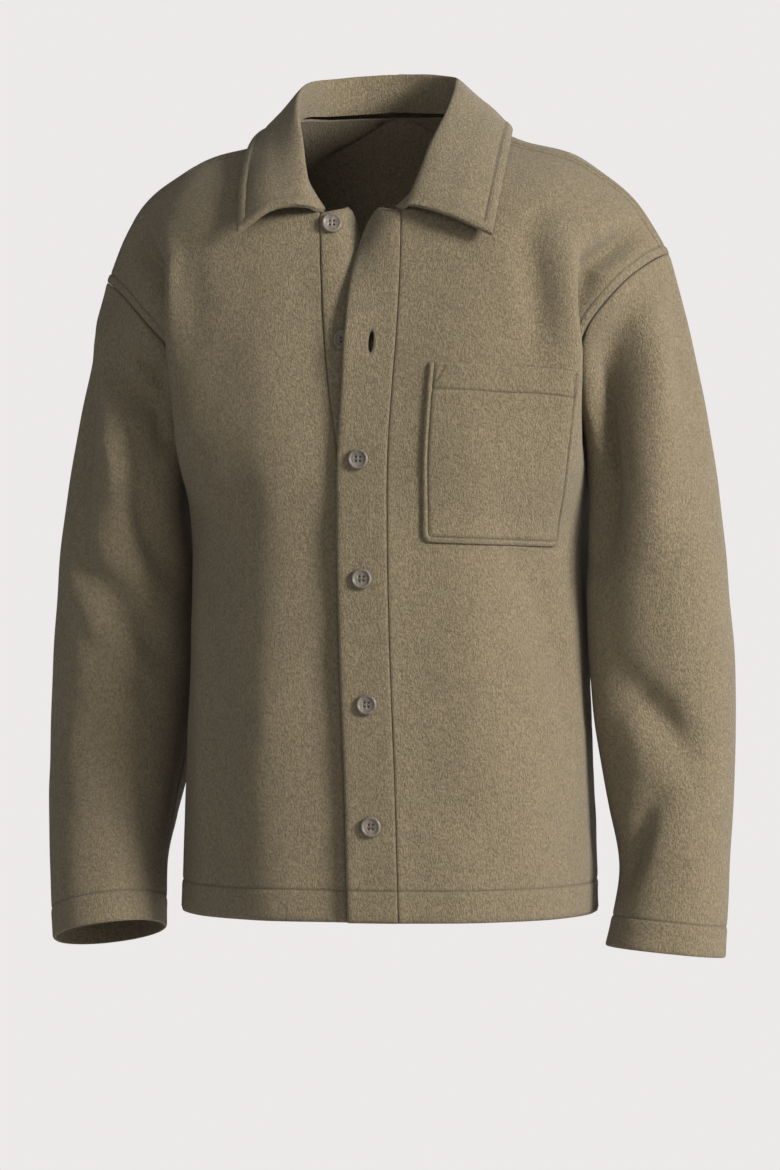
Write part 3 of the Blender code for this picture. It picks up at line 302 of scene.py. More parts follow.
# The dense grids of half the body and of a sleeve; the body's heights are read on the mark column, and
# the pitch is the height of one of its rows beside the shoulder
DENSE_COLUMNS = 73
DENSE_STEPS = (80, 40, 30, 30, 50, 80)
MARK_COLUMN = 8
SHOULDER_PITCH = 0.0040
CAP_DENSE_STEPS = 48
SLEEVE_DENSE_ROWS = 81
SLEEVE_GIRTH = 0.34
# Steps up a front to its underarm, band top and shoulder, and down a half back to its nape, underarm
# and hem; across either, down a sleeve, along half the collar, and up and across the pocket
FRONT_STEPS = (100, 50, 25)
BACK_STEPS = (15, 69, 89)
BODY_STEPS = 52
SLEEVE_STEPS = 120
COLLAR_COLUMNS = 110
POCKET_ROWS = (46, 26)
POCKET_COLUMNS = 42
# The soft wander of each cloth piece: its seed and its height
UNEVEN = {
    "front": (11, 0.0003), "back": (17, 0.0004), "sleeve": (23, 0.0003), "collar": (31, 0.0003),
    "band_left": (43, 0.00025), "band_right": (44, 0.00025),
}
# Steps of the collar from its seam outwards: stand, fold and leaf, as shares of the whole
COLLAR_ACROSS = ((0.0, 0.34, 12), (0.36, 0.46, 8), (0.48, 0.80, 14))
COLLAR_FOLD_COLUMN = COLLAR_ACROSS[0][2] + COLLAR_ACROSS[1][2] - 1
COLLAR_GIRTH = 0.110

# Relief over the cloth's face, as (distance from the edge, height) pairs
PLAIN_SEAM = ((0.0, -0.0007), (0.0006, -0.0004), (0.0016, -0.0001), (0.0034, 0.0))
BAND_EDGE = (
    (0.0, -0.0019), (0.0005, -0.0010), (0.0012, -0.0005), (0.0026, 0.0), (0.0060, 0.0002), (0.0120, 0.0),
)
HOLE_EDGE = ((0.0, 0.0), (0.0008, 0.0005), (0.0020, 0.0004), (0.0030, -0.0002), (0.0042, 0.0))
HEM_EDGE = ((0.0, -0.0011), (0.0006, -0.0004), (0.0016, 0.0), (0.0030, 0.0001))
# Relief across a line of stitching on flat cloth, as (distance above the line, height) pairs
HEM_LINE = (
    (-0.0120, 0.0002), (-0.0030, 0.0004), (-0.0010, -0.0002), (0.0, -0.0009), (0.0010, -0.0003),
    (0.0028, 0.0),
)
# Places across a line of stitching, and in from a plain seam, the back's middle, a cuff and a pocket's edge
LINE_STEPS = (-0.0044, -0.0022, -0.0012, -0.0006, 0.0, 0.0006, 0.0012, 0.0024)
SEAM_STEPS = (0.0, 0.0006, 0.0016, 0.0034, 0.0062)
MIDDLE_STEPS = (0.0, 0.0010, 0.0050)
CUFF_STEPS = (0.0, 0.0006, 0.0016, 0.0040, 0.0100, 0.0160)
POCKET_STEPS = (0.0, 0.0005, 0.0014, 0.0026, 0.0036, 0.0042, 0.0046, 0.0050, 0.0056, 0.0076)
# Width of the pressed nap, and of the painted shade on it, along a sewn line
PRESSED_AND_SHADED_WIDTH = 0.0011
# The armhole's relief fades in from this height, just below the underarm
ARMHOLE_START = -0.318

# The sewn triangle at each top corner of the pocket, as distances across it and down from its top;
# a distance below 0 is taken from the far side
POCKET_TACKS = (
    ((0.0060, 0.0030), (0.0136, 0.0030), (0.0046, 0.0205)),
    ((-0.0074, 0.0030), (-0.0014, 0.0030), (-0.0036, 0.0240)),
)
TACK_SIDE_STEPS = 16
# Rows along the open buttonhole, and the closed one at the band's top, by its place across the band
SLIT_STEPS = 12
TOP_HOLE = {"across": 0.0115, "z": -0.0990, "half_length": 0.0036, "half_height": 0.0004, "steps": 32}

# Stitches: the gap between two, and rings along one as (place, girth, lift), in lengths and half widths
STITCH_GAP = 0.0011
STITCH_RINGS = (
    (-0.5, 0.0, -0.9), (-0.44, 0.62, -0.35), (-0.22, 0.98, 0.25), (0.22, 0.98, 0.25), (0.44, 0.62, -0.35),
    (0.5, 0.0, -0.9),
)
STITCH_SIDES = 5
# Stitches round a buttonhole: their pitch, and how far each reaches in and out from the rim
HOLE_STITCH = {"pitch": 0.0009, "in": 0.0002, "out": 0.0019}

# Profile of a button from its back round the rim to its dished face, in shares of radius and thickness
BUTTON_PROFILE = (
    (0.80, 0.00), (0.93, 0.04), (0.99, 0.16), (1.00, 0.36), (0.99, 0.60), (0.95, 0.84), (0.89, 0.97),
    (0.83, 1.00), (0.77, 0.96), (0.72, 0.86), (0.66, 0.75), (0.58, 0.69),
)
BUTTON_SIDES = 56
BUTTON_HOLE = {"radius": 0.00085, "from_middle": 0.00165, "sides": 14, "rim": 0.0003, "flare": 1.25}

Sizes = collections.namedtuple("Sizes", (
    "cloth", "hem", "topstitch", "collar_topstitch", "pocket_border", "pocket_facing", "pocket_corner",
    "stitch", "thread", "button",
))

# The plain studio: floor, background, lights and camera
FLOOR_Z = -1.45
FLOOR_RADIUS = 3.0
BACKGROUND = (0.84, 0.82, 0.81)
AMBIENT = (0.33, 0.33, 0.34)
LIGHT_AIM = (0.0, 0.0, -0.35)
LIGHTS = (
    {"name": "key", "place": (3.15, -1.6, 0.9), "size": 1.1, "power": 268.0, "colour": (1.0, 0.97, 0.93)},
    {"name": "fill", "place": (-0.4, -3.6, 0.9), "size": 1.8, "power": 19.0, "colour": (1.0, 0.98, 0.96)},
    {"name": "back", "place": (0.5, 3.6, 0.9), "size": 1.8, "power": 90.0, "colour": (1.0, 0.98, 0.96)},
)
CAMERA = {"azimuth": 8.0, "distance": 3.2, "target": (0.0, 0.0, -0.405), "lens": 115.8, "sensor": 36.0}

# Small creases that lie over the main folds, as the folds above are given
FRONT_CREASES = {
    "left": (
        {"s": (0.176, 0.168), "z": (-0.096, -0.186), "width": 0.009, "depth": -0.0040},
        {"s": (0.146, 0.160), "z": (-0.115, -0.150), "width": 0.006, "depth": -0.0016},
        {"s": (0.090, 0.150), "z": (-0.395, -0.450), "width": 0.012, "depth": 0.0012},
        {"s": (0.130, 0.168), "z": (-0.410, -0.480), "width": 0.008, "depth": -0.0016},
        {"s": (0.030, 0.075), "z": (-0.560, -0.625), "width": 0.016, "depth": -0.0012},
    ),
    "right": (
        {"s": (0.157, 0.160), "z": (-0.112, -0.192), "width": 0.009, "depth": -0.0040},
        {"s": (0.118, 0.128), "z": (-0.118, -0.165), "width": 0.006, "depth": -0.0014},
        {"s": (0.040, 0.080), "z": (-0.250, -0.330), "width": 0.018, "depth": -0.0012},
        {"s": (0.128, 0.158), "z": (-0.330, -0.370), "width": 0.009, "depth": -0.0016},
        {"s": (0.060, 0.100), "z": (-0.480, -0.600), "width": 0.018, "depth": 0.0012},
    ),
}
BACK_CREASES = (
    {"s": (-0.150, -0.110), "z": (-0.270, -0.330), "width": 0.010, "depth": -0.0018},
    {"s": (0.155, 0.105), "z": (-0.255, -0.335), "width": 0.010, "depth": -0.0018},
    {"s": (-0.030, 0.040), "z": (-0.105, -0.115), "width": 0.012, "depth": -0.0010},
    {"s": (0.020, -0.010), "z": (-0.420, -0.600), "width": 0.018, "depth": -0.0012},
)
SLEEVE_CREASES = {
    "left": (
        {"turn": (84.0, 118.0), "z": (-0.235, -0.300), "width": 0.008, "depth": -0.0018},
        {"turn": (40.0, 80.0), "z": (-0.450, -0.490), "width": 0.010, "depth": -0.0018},
        {"turn": (84.0, 140.0), "z": (-0.480, -0.520), "width": 0.008, "depth": -0.0020},
        {"turn": (20.0, 70.0), "z": (-0.580, -0.615), "width": 0.010, "depth": -0.0016},
        {"turn": (250.0, 200.0), "z": (-0.500, -0.540), "width": 0.010, "depth": -0.0020},
    ),
    "right": (
        {"turn": (80.0, 118.0), "z": (-0.255, -0.320), "width": 0.008, "depth": -0.0018},
        {"turn": (44.0, 86.0), "z": (-0.420, -0.470), "width": 0.008, "depth": -0.0018},
        {"turn": (86.0, 134.0), "z": (-0.455, -0.515), "width": 0.008, "depth": -0.0020},
        {"turn": (24.0, 66.0), "z": (-0.560, -0.600), "width": 0.010, "depth": -0.0014},
        {"turn": (250.0, 200.0), "z": (-0.500, -0.540), "width": 0.010, "depth": -0.0020},
    ),
}


def through(knots, values, at):
    """A smooth curve through the values at the knots, read at the places given."""
    knots = np.asarray(knots, float)
    values = np.asarray(values, float)
    at = np.clip(np.asarray(at, float), knots[0], knots[-1])
    slopes = np.gradient(values, knots, axis=0)
    start = np.clip(np.searchsorted(knots, at, side="right") - 1, 0, len(knots) - 2)
    span = knots[start + 1] - knots[start]
    t = (at - knots[start]) / span
    shape = t.shape + (1,) * (values.ndim - 1)
    t, span = t.reshape(shape), span.reshape(shape)
    return (
        (1 + 2 * t) * (1 - t) ** 2 * values[start]
        + t * (1 - t) ** 2 * span * slopes[start]
        + t * t * (3 - 2 * t) * values[start + 1]
        + t * t * (t - 1) * span * slopes[start + 1]
    )


def eased(low, high, value):
    """0 up to low, 1 from high, with a smooth step between."""
    t = np.clip((value - low) / (high - low), 0.0, 1.0)
    return t * t * (3 - 2 * t)


def length_along(points):
    steps = np.linalg.norm(np.diff(points, axis=0), axis=1)
    return np.concatenate(([0.0], np.cumsum(steps)))


def length_down(grid):
    """The distance of each point of a grid from the top of its own column."""
    return np.stack([length_along(grid[:, k]) for k in range(grid.shape[1])], axis=1)


def read_line(at, along, line):
    """The rows of a line, known at the distances along, read at the places given."""
    return np.stack([np.interp(at, along, values) for values in line.T], axis=1)


def even_steps(ends, counts):
    """Places from the first end to the last, with a set count of even steps between each two."""
    parts = [np.linspace(a, b, n, endpoint=False) for a, b, n in zip(ends, ends[1:], counts)]
    return np.concatenate(parts + [[ends[-1]]])


def nearest(values, value):
    """Which of the values is nearest to the one given."""
    return int(np.argmin(np.abs(values - value)))


def mirrored(points):
    return points * np.array([-1.0, 1.0, 1.0])


def turned(grid):
    """The grid with its rows and columns swapped."""
    return np.swapaxes(grid, 0, 1)


def unit(vectors):
    return vectors / np.maximum(np.linalg.norm(vectors, axis=-1, keepdims=True), 1e-12)


def normals_of(grid, closed=False):
    """Unit normals of a grid of points; closed joins the last column to the first."""
    if closed:
        across = np.roll(grid, -1, axis=1) - np.roll(grid, 1, axis=1)
    else:
        across = np.gradient(grid, axis=1)
    return unit(np.cross(across, np.gradient(grid, axis=0)))


def level_row(level, edge_x, rear):
    """The key points of a level section, from the edge at the middle round to the side seam."""
    half_width = BODY_LEVELS["half_width"][level]
    depth = BODY_LEVELS["back" if rear else "front"][level]
    z = BODY_LEVELS["z"][level]
    facing = 1.0 if rear else -1.0
    power = 2.0 / LEVEL_SQUARENESS
    edge_y = depth * (1 - (edge_x / half_width) ** LEVEL_SQUARENESS) ** (1 / LEVEL_SQUARENESS)
    row = [(edge_x, facing * edge_y, z)]
    drop = BODY_LEVELS["side_drop"][level]
    for angle in np.radians(LEVEL_ANGLES):
        x = half_width * math.sin(angle) ** power
        y = (depth + facing * -SIDE_SEAM_Y) * max(math.cos(angle), 0.0) ** power
        row.append((x, facing * y + SIDE_SEAM_Y, z - drop * x / half_width))
    return row


def body_net(side):
    """Key points of half the body: rows from the front hem over the shoulder to the back hem."""
    levels = range(len(BODY_LEVELS["z"]))
    edges = through(OPENING["z"], OPENING[side], BODY_LEVELS["z"])
    net = [level_row(k, float(edges[k]), rear=False) for k in levels]
    front = FRONT_SIDES[side]
    below_neck = through(OPENING["z"], OPENING[side], UPPER_FRONT["edge_z"])
    for k, breast in enumerate(UPPER_FRONT["breast"]):
        if k < len(below_neck):
            edge = (float(below_neck[k]), UPPER_FRONT["edge_y"][k], UPPER_FRONT["edge_z"][k])
        else:
            edge = NECKLINE[side][k - len(below_neck)]
        net.append([edge, breast, front["fold"][k], front["upper_arm"][k], front["armhole"][k]])
    for k, armhole in enumerate(BACK_ARMHOLE[side]):
        net.append([UPPER_BACK[name][k] for name in ("edge", "breast", "fold", "upper_arm")] + [armhole])
    net += [level_row(k, 0.0, rear=True) for k in reversed(levels)]
    return np.array(net)


HEM_Z = BODY_LEVELS["z"][0]
UNDERARM_X, UNDERARM_Z = FRONT_SIDES["left"]["armhole"][0][::2]
UNDERARM_ROW = len(BODY_LEVELS["z"])
BAND_TOP_ROW = UNDERARM_ROW + len(UPPER_FRONT["edge_z"])
SHOULDER_ROW = UNDERARM_ROW + len(UPPER_FRONT["breast"]) - 1
NAPE_ROW = SHOULDER_ROW + 2
BACK_UNDERARM_ROW = SHOULDER_ROW + len(UPPER_BACK["edge"])


def row_knots(net):
    """Knots for the rows of a net, by the mean distance from each row to the next."""
    steps = np.linalg.norm(np.diff(net, axis=0), axis=2).mean(axis=1)
    return np.concatenate(([0.0], np.cumsum(steps)))


def dense_rows(side):
    """Half the body's surface as a dense grid from the front hem over to the back hem.

    Also the grid rows where the net's stops fall: underarm, band top, shoulder, nape, underarm, hem.
    """
    net = body_net(side)
    knots = row_knots(net)
    stops = (0, UNDERARM_ROW, BAND_TOP_ROW, SHOULDER_ROW, NAPE_ROW, BACK_UNDERARM_ROW, len(net) - 1)
    places = even_steps([knots[k] for k in stops], DENSE_STEPS)
    rows = through(knots, net, places)
    for a, b in ((0, BAND_TOP_ROW), (BAND_TOP_ROW, NAPE_ROW), (NAPE_ROW, len(net) - 1)):
        within = (places >= knots[a] - 1e-9) & (places <= knots[b] + 1e-9)
        line, line_knots = net[a:b + 1, 0], knots[a:b + 1]
        if b == NAPE_ROW:
            line, line_knots = past_middle(line, line_knots)
        rows[within, 0] = through(line_knots, line, places[within])
    stops = np.cumsum((0,) + DENSE_STEPS)
    before = 2 * rows[:, :1] - rows[:, 1:2]
    before[stops[4]:] = mirrored(rows[stops[4]:, 1:2])
    keys = (-COLUMN_KEYS[1],) + COLUMN_KEYS
    rows = np.concatenate((before, rows), axis=1)
    columns = through(keys, rows.transpose(1, 0, 2), np.linspace(0.0, 1.0, DENSE_COLUMNS))
    return true_side_seam(columns.transpose(1, 0, 2)), stops


def past_middle(line, knots):
    """A line that ends on the garment's middle, and its knots, with one mirrored point beyond."""
    line = np.concatenate((line, mirrored(line[-2:-1])))
    return line, np.concatenate((knots, [2 * knots[-1] - knots[-2]]))


def true_side_seam(grid):
    """Brings the last column, below the underarm, onto the one side seam that both panels share."""
    z = grid[:, -1, 2]
    seam_x = through(BODY_LEVELS["z"] + (UNDERARM_Z,), BODY_LEVELS["half_width"] + (UNDERARM_X,), z)
    below = z < UNDERARM_Z - 1e-9
    weight = np.linspace(0, 1, grid.shape[1]) ** 4
    grid = grid.copy()
    grid[..., 0] += np.where(below, seam_x - grid[:, -1, 0], 0.0)[:, None] * weight
    grid[..., 1] += np.where(below, SIDE_SEAM_Y - grid[:, -1, 1], 0.0)[:, None] * weight
    return grid


def fold_field(s, z, folds):
    """How far the folds move each point out: a soft ridge or trough round each fold's line."""
    moved = np.zeros_like(s)
    for fold in folds:
        start = np.array([fold["s"][0], fold["z"][0]])
        run = np.array([fold["s"][1], fold["z"][1]]) - start
        t = ((s - start[0]) * run[0] + (z - start[1]) * run[1]) / (run @ run)
        near = np.clip(t, 0.0, 1.0)
        off = np.hypot(s - start[0] - near * run[0], z - start[1] - near * run[1])
        fade = np.sin(math.pi * (0.12 + 0.76 * near))
        moved += fold["depth"] * fade * np.exp(-((off / fold["width"]) ** 2))
    return moved


def half_body(side):
    """The outer face of half the body with its folds, in left-side form, and its normals."""
    grid, stops = dense_rows(side)
    top = stops[3]
    s = np.stack([length_along(row) for row in grid])
    z = grid[..., 2]
    sign = 1 if side == "left" else -1
    inset = np.minimum(s, s[:, -1:] - s)
    field = np.zeros_like(s)
    field[:top] = fold_field(s, z, FRONT_FOLDS[side] + FRONT_CREASES[side])[:top]
    field[top:] = fold_field(s * sign, z, BACK_FOLDS + BACK_CREASES)[top:]
    from_shoulder = np.abs(np.arange(len(grid)) - top)[:, None] / 20.0
    field *= eased(0.0, 0.02, inset) * eased(0.0, 1.0, from_shoulder)
    grid = grid + outward(normals_of(grid), grid) * field[..., None]
    if side == "right":
        sunk = PLACKET_PLY + 4 * SEAM_GAP
        below_neck = (1 - eased(-0.110, -0.055, z)) * (np.arange(len(grid)) < top)[:, None]
        grid[..., 1] += sunk * (1 - eased(0.0, 0.075, s)) * below_neck
    normals = outward(normals_of(grid), grid)
    normals[z[:, -1] < UNDERARM_Z + 0.004, -1, 1] = 0.0
    return grid, unit(normals), stops


def outward(normals, grid):
    """The same normals, turned as one to point away from the middle of the body."""
    away = grid * np.array([1.0, 1.0, 0.0])
    return normals if (normals * away).sum() > 0 else -normals


def respaced_part(points, stations, first, last):
    """The polyline read at the distances of stations(length), clear of a seam where it has one."""
    along = length_along(points[:, :3])
    low = SEAM_GAP / 2 if first else 0.0
    high = SEAM_GAP / 2 if last else 0.0
    return read_line(low + stations(along[-1] - low - high), along, points)


def row_of(grid, z, low, high):
    """The place, counted in rows, where the grid's mark column crosses a height."""
    heights = grid[low:high, MARK_COLUMN, 2]
    order = np.argsort(heights)
    return float(np.interp(z, heights[order], np.arange(low, high)[order]))


def sleeve_ring(table, k, turns):
    """Points of one level ring of a sleeve, each turn counted from its outer edge to the front."""
    power = 2.0 / SLEEVE_SQUARENESS
    middle = (table["inner"][k] + table["outer"][k]) / 2
    half = (table["outer"][k] - table["inner"][k]) / 2
    cosine, sine = np.cos(turns), np.sin(turns)
    x = half * np.sign(cosine) * np.abs(cosine) ** power
    y = -table["depth"][k] * np.sign(sine) * np.abs(sine) ** power
    z = table["z"][k] - table["slant"][k] * y - table["roll"][k] * x
    return np.stack((middle + x, table["y"][k] + y, z), axis=1)


def ring_normals(grid, middle):
    """Unit normals of a grid of closed rings, pointing away from the rings' middles."""
    normals = normals_of(grid, closed=True)
    return normals if (normals * (grid - middle)).sum() >= 0 else -normals


def sleeve_dense(side, armhole):
    """The outer face of one sleeve in left-side form, from the armhole to the cuff."""
    table = SLEEVES[side]
    points, aims, seam_normals, turns = armhole
    low = 1 - eased(-0.250, -0.150, points[:, 2])
    down = unit(np.array([0.30, 0.0, -1.0]))
    aims = unit(aims * (1 - low[:, None]) + down * low[:, None])
    falling = CAP_FALL * eased(-0.230, -0.160, points[:, 2])[:, None]
    fall = unit(aims * (1 - falling) + np.array([0.0, 0.0, -1.0]) * falling)
    start = points + aims * SEAM_GAP * 1.6 + np.array([1.0, 0.0, 0.0]) * (SEAM_GAP * 6.0 * low)[:, None]
    rings = np.stack([sleeve_ring(table, k, turns) for k in range(len(table["z"]))])
    reach = np.linalg.norm(rings[0] - start, axis=1)[:, None]
    down = unit(rings[1] - rings[0])
    t = np.linspace(0.0, 1.0, CAP_DENSE_STEPS, endpoint=False)[:, None, None]
    cap = (
        (1 + 2 * t) * (1 - t) ** 2 * start + t * (1 - t) ** 2 * reach * fall
        + t * t * (3 - 2 * t) * rings[0] + t * t * (t - 1) * reach * down
    )
    heights = -np.array(table["z"])
    lower = through(heights, rings, np.linspace(heights[0], heights[-1], SLEEVE_DENSE_ROWS))
    grid = np.concatenate((cap, lower))
    around = np.broadcast_to(np.degrees(turns) % 360.0, grid.shape[:2]) / 360.0
    field = np.zeros(grid.shape[:2])
    for wrap in (-1.0, 0.0, 1.0):
        for fold in SLEEVE_FOLDS[side] + SLEEVE_CREASES[side]:
            scaled = dict(fold, s=tuple(turn / 360.0 * SLEEVE_GIRTH for turn in fold["turn"]))
            field += fold_field((around + wrap) * SLEEVE_GIRTH, grid[..., 2], (scaled,))
    down_sleeve = length_down(grid)
    field *= eased(0.004, 0.035, down_sleeve) * eased(0.0, 0.05, down_sleeve[-1] - down_sleeve)
    ring_middle = grid.mean(axis=1, keepdims=True)
    grid = grid + ring_normals(grid, ring_middle) * field[..., None]
    normals = ring_normals(grid, ring_middle)
    shared = (1 - eased(0.0, CAP_SEAM_REACH, down_sleeve)) * (1 - low)
    return grid, unit(normals * (1 - shared[..., None]) + seam_normals * shared[..., None])


def neck_seam(side):
    """The neckline in left-side form from the band's top to the nape, with the cloth's normals."""
    grid, normals, stops = half_body(side)
    rows = slice(stops[2], stops[4] + 1)
    edge, up = grid[rows, 0], normals[rows, 1]
    into_neck = np.cross(up, np.gradient(edge, axis=0))
    into_neck = unit(into_neck) * (1 if into_neck[20, 0] < 0 else -1)
    return np.concatenate((edge, up, into_neck), axis=1)


def collar_half(side, across):
    """The collar's visible face in left-side form, from its front end to the nape."""
    seam = neck_seam(side)
    length = length_along(seam[:, :3])
    u = np.linspace(0.0, 1.0, COLLAR_COLUMNS)
    seam = read_line(u * length[-1], length, seam)
    stand = seam[:, :3] + seam[:, 6:9] * (COLLAR_SEAM_GAP + COLLAR_PLY) - seam[:, 3:6] * 0.0015
    stand[:, 2] += 0.0012 * (1 - eased(0.0, 0.06, u))
    lines = []
    for name in ("fold", "edge"):
        keys = np.array(COLLAR[side][name])
        knots = length_along(keys)
        lines.append(through(*past_middle(keys, knots / knots[-1])[::-1], u))
    fold, edge = lines
    arch = np.array(COLLAR_ARCH[side]) * (1 - eased(0.0, 0.30, u))[:, None]
    roll = unit(np.cross(np.gradient(fold, axis=0), edge - fold))
    roll = roll if roll[-1, 1] > 0 else -roll
    leaf_middle = (fold + edge) / 2 + roll * COLLAR_LEAF_BULGE[side] + arch
    rise = (stand + fold) / 2 - roll * COLLAR_STAND_LEAN
    keys = np.stack((stand, rise, fold, leaf_middle, edge))
    spans = np.linalg.norm(np.diff(keys, axis=0), axis=2).mean(axis=1)
    knots = np.concatenate(([0.0], np.cumsum(spans)))
    return through(knots / knots[-1], keys, across).transpose(1, 0, 2)


def collar_grid(across):
    """The whole collar's visible face from the wearer's left front end round to the right."""
    left = collar_half("left", across)
    right = mirrored(collar_half("right", across))[::-1]
    middle = (left[-1:] + right[:1]) / 2
    grid = np.concatenate((left[:-1], middle, right[1:]))
    normals = normals_of(grid)
    if normals[COLLAR_COLUMNS - 1, -1, 1] < 0:
        normals = -normals
    return grid, normals


def band_grid(side, seam, places):
    """A button band's outer grid in left-side form: places are distances across from the seam.

    seam holds points of the front's edge and the front's normals there, which the band shares.
    """
    edge = seam[:, :3]
    fine = np.linspace(0.0, 1.0, CURL_STEPS + 1)
    curl = np.radians(through(BAND_CURL["z"], BAND_CURL[side], edge[:, 2]))
    angle = curl[:, None] * fine ** 1.2
    step = PLACKET_WIDTH / CURL_STEPS
    run = np.cumsum(np.cos(angle[:, :-1]) * step, axis=1)
    into = np.cumsum(np.sin(angle[:, :-1]) * step, axis=1)
    nothing = np.zeros((len(edge), 1))
    run, into = np.concatenate((nothing, run), axis=1), np.concatenate((nothing, into), axis=1)
    t = np.asarray(places) / PLACKET_WIDTH
    grid = np.empty((len(edge), len(places), 3))
    for r, point in enumerate(edge):
        grid[r, :, 0] = point[0] - np.interp(t, fine, run[r])
        grid[r, :, 1] = point[1] - PLACKET_RISE + np.interp(t, fine, into[r])
        grid[r, :, 2] = point[2]
    over_button = np.exp(-(((edge[:, 2] - BUTTONS["z"][1]) / BAND_LIFT_REACH) ** 2))[:, None]
    grid[..., 1] -= BAND_LIFT[side] * over_button * t ** 2
    near_top = eased(-0.160, -0.095, edge[:, 2])[:, None]
    grid[..., 2] += BAND_TOP_RISE[side] * near_top * t
    normals = normals_of(grid)
    if normals[0, 0, 1] > 0:
        normals = -normals
    shared = (1 - eased(0.0, BAND_SEAM_REACH, np.asarray(places)))[:, None]
    return grid, unit(normals * (1 - shared) + seam[:, None, 3:] * shared)


def button_seats(seams):
    """Where each button touches its band, and the band's normal there."""
    seats = []
    for z, side, from_seam in zip(BUTTONS["z"], BUTTONS["band"], BUTTONS["from_seam"]):
        seam = read_line((z - 0.004, z, z + 0.004), seams[side][:, 2], seams[side])
        grid, normals = band_grid(side, seam, (from_seam - 0.004, from_seam, from_seam + 0.004))
        place, normal = grid[1, 1], normals[1, 1]
        if side == "right":
            place, normal = mirrored(place), mirrored(normal)
        seats.append((place, normal))
    return seats


def relief(distance, pairs):
    """Height over the cloth at each distance, by the pairs given."""
    keys = np.array(pairs)
    return np.interp(distance, keys[:, 0], keys[:, 1])


def stitched_edge(line):
    """Relief of a sewn edge with a puffed strip up to a line of topstitching."""
    return (
        (0.0, -0.0009), (0.0006, -0.0004), (0.0016, 0.0001), (line * 0.45, 0.0005), (line * 0.72, 0.0004),
        (line - 0.0008, -0.0002), (line, -0.0009), (line + 0.0008, -0.0002), (line + 0.0026, 0.0),
    )


def edge_steps(line):
    """Distances from an edge, close together near the edge and round a line of topstitching."""
    beside = (-0.0020, -0.0010, -0.0004, 0.0, 0.0004, 0.0010, 0.0022, 0.0044)
    return (0.0, 0.0006, 0.0016, 0.0030, line * 0.575) + tuple(line + step for step in beside)


def crevice(distance, line):
    """1 on a sewn line and 0 away from it: how deep the nap is pressed in there, and how dark the painted
    shade is.
    """
    return np.exp(-(((distance - line) / PRESSED_AND_SHADED_WIDTH) ** 2))


def distance_to(points, line):
    """How far each point of a grid is from a polyline."""
    along = length_along(line)
    dense = read_line(np.arange(0.0, along[-1], 0.0005), along, line)
    tree = kdtree.KDTree(len(dense))
    for k, point in enumerate(dense):
        tree.insert(point, k)
    tree.balance()
    flat = np.array([tree.find(point)[2] for point in points.reshape(-1, 3)])
    return flat.reshape(points.shape[:2])


def edge_to_edge(length, near, count, far=None):
    """Distances across a panel: those of near from one edge, count even steps, and those of far."""
    near = np.asarray(near)
    far = near if far is None else np.asarray(far)
    middle = np.linspace(near[-1], length - far[-1], count + 1)[1:-1]
    return np.concatenate((near, middle, length - far[::-1]))


def with_line(places, centre, per_metre):
    """Row places with extra rows round a line of stitching; per_metre turns metres into rows."""
    extra = centre + np.array(LINE_STEPS) * per_metre
    keep = (places < extra[0] - 0.2) | (places > extra[-1] + 0.2)
    return np.sort(np.concatenate((places[keep], extra)))


def read_rows(grid, normals, places, columns, sewn):
    """A panel's own grid, read at row places and column distances; sewn pulls in its end rows."""
    both = np.concatenate((grid, normals), axis=2)
    lower = np.clip(np.floor(places).astype(int), 0, len(grid) - 1)
    upper = np.minimum(lower + 1, len(grid) - 1)
    part = (places - lower)[:, None, None]
    rows = both[lower] * (1 - part) + both[upper] * part
    aims = unit(rows[:, -1, :3] - rows[:, -3, :3])
    panel = np.stack([respaced_part(row, columns, True, True) for row in rows])
    for row, inner, pulled in ((0, 1, sewn[0]), (-1, -2, sewn[1])):
        if pulled:
            panel[row, :, :3] += unit(panel[inner, :, :3] - panel[row, :, :3]) * SEAM_GAP / 2
    return panel[..., :3], unit(panel[..., 3:]), aims


def hem_place(grid, low, high, height):
    """The row place of the hem's stitching, and rows per metre of height there."""
    place = row_of(grid, HEM_Z + height, low, high)
    above = row_of(grid, HEM_Z + height + 0.002, low, high)
    return place, (above - place) / 0.002


def unevenness(points, seed, height):
    """A soft wander of the cloth, the same on each run: waves 30 to 90 mm long in random directions."""
    chance = np.random.default_rng(seed)
    total = np.zeros(points.shape[:2])
    for _ in range(14):
        way = unit(chance.normal(size=3)) * (2 * math.pi / chance.uniform(0.030, 0.090))
        total += np.sin(points @ way + chance.uniform(0.0, 2 * math.pi))
    return total * height / math.sqrt(14)


def crossing(surface, away, value):
    """Where each row of a surface, read from its last column back, is a set distance from the edge."""
    found = []
    for row, distance in zip(surface, away):
        near = distance[::-1]
        past = np.nonzero((near[:-1] <= value) & (near[1:] > value))[0]
        if len(past) == 0:
            continue
        k = past[0]
        t = (value - near[k]) / (near[k + 1] - near[k])
        a, b = len(near) - 1 - k, len(near) - 2 - k
        found.append(row[a] * (1 - t) + row[b] * t)
    return np.array(found)


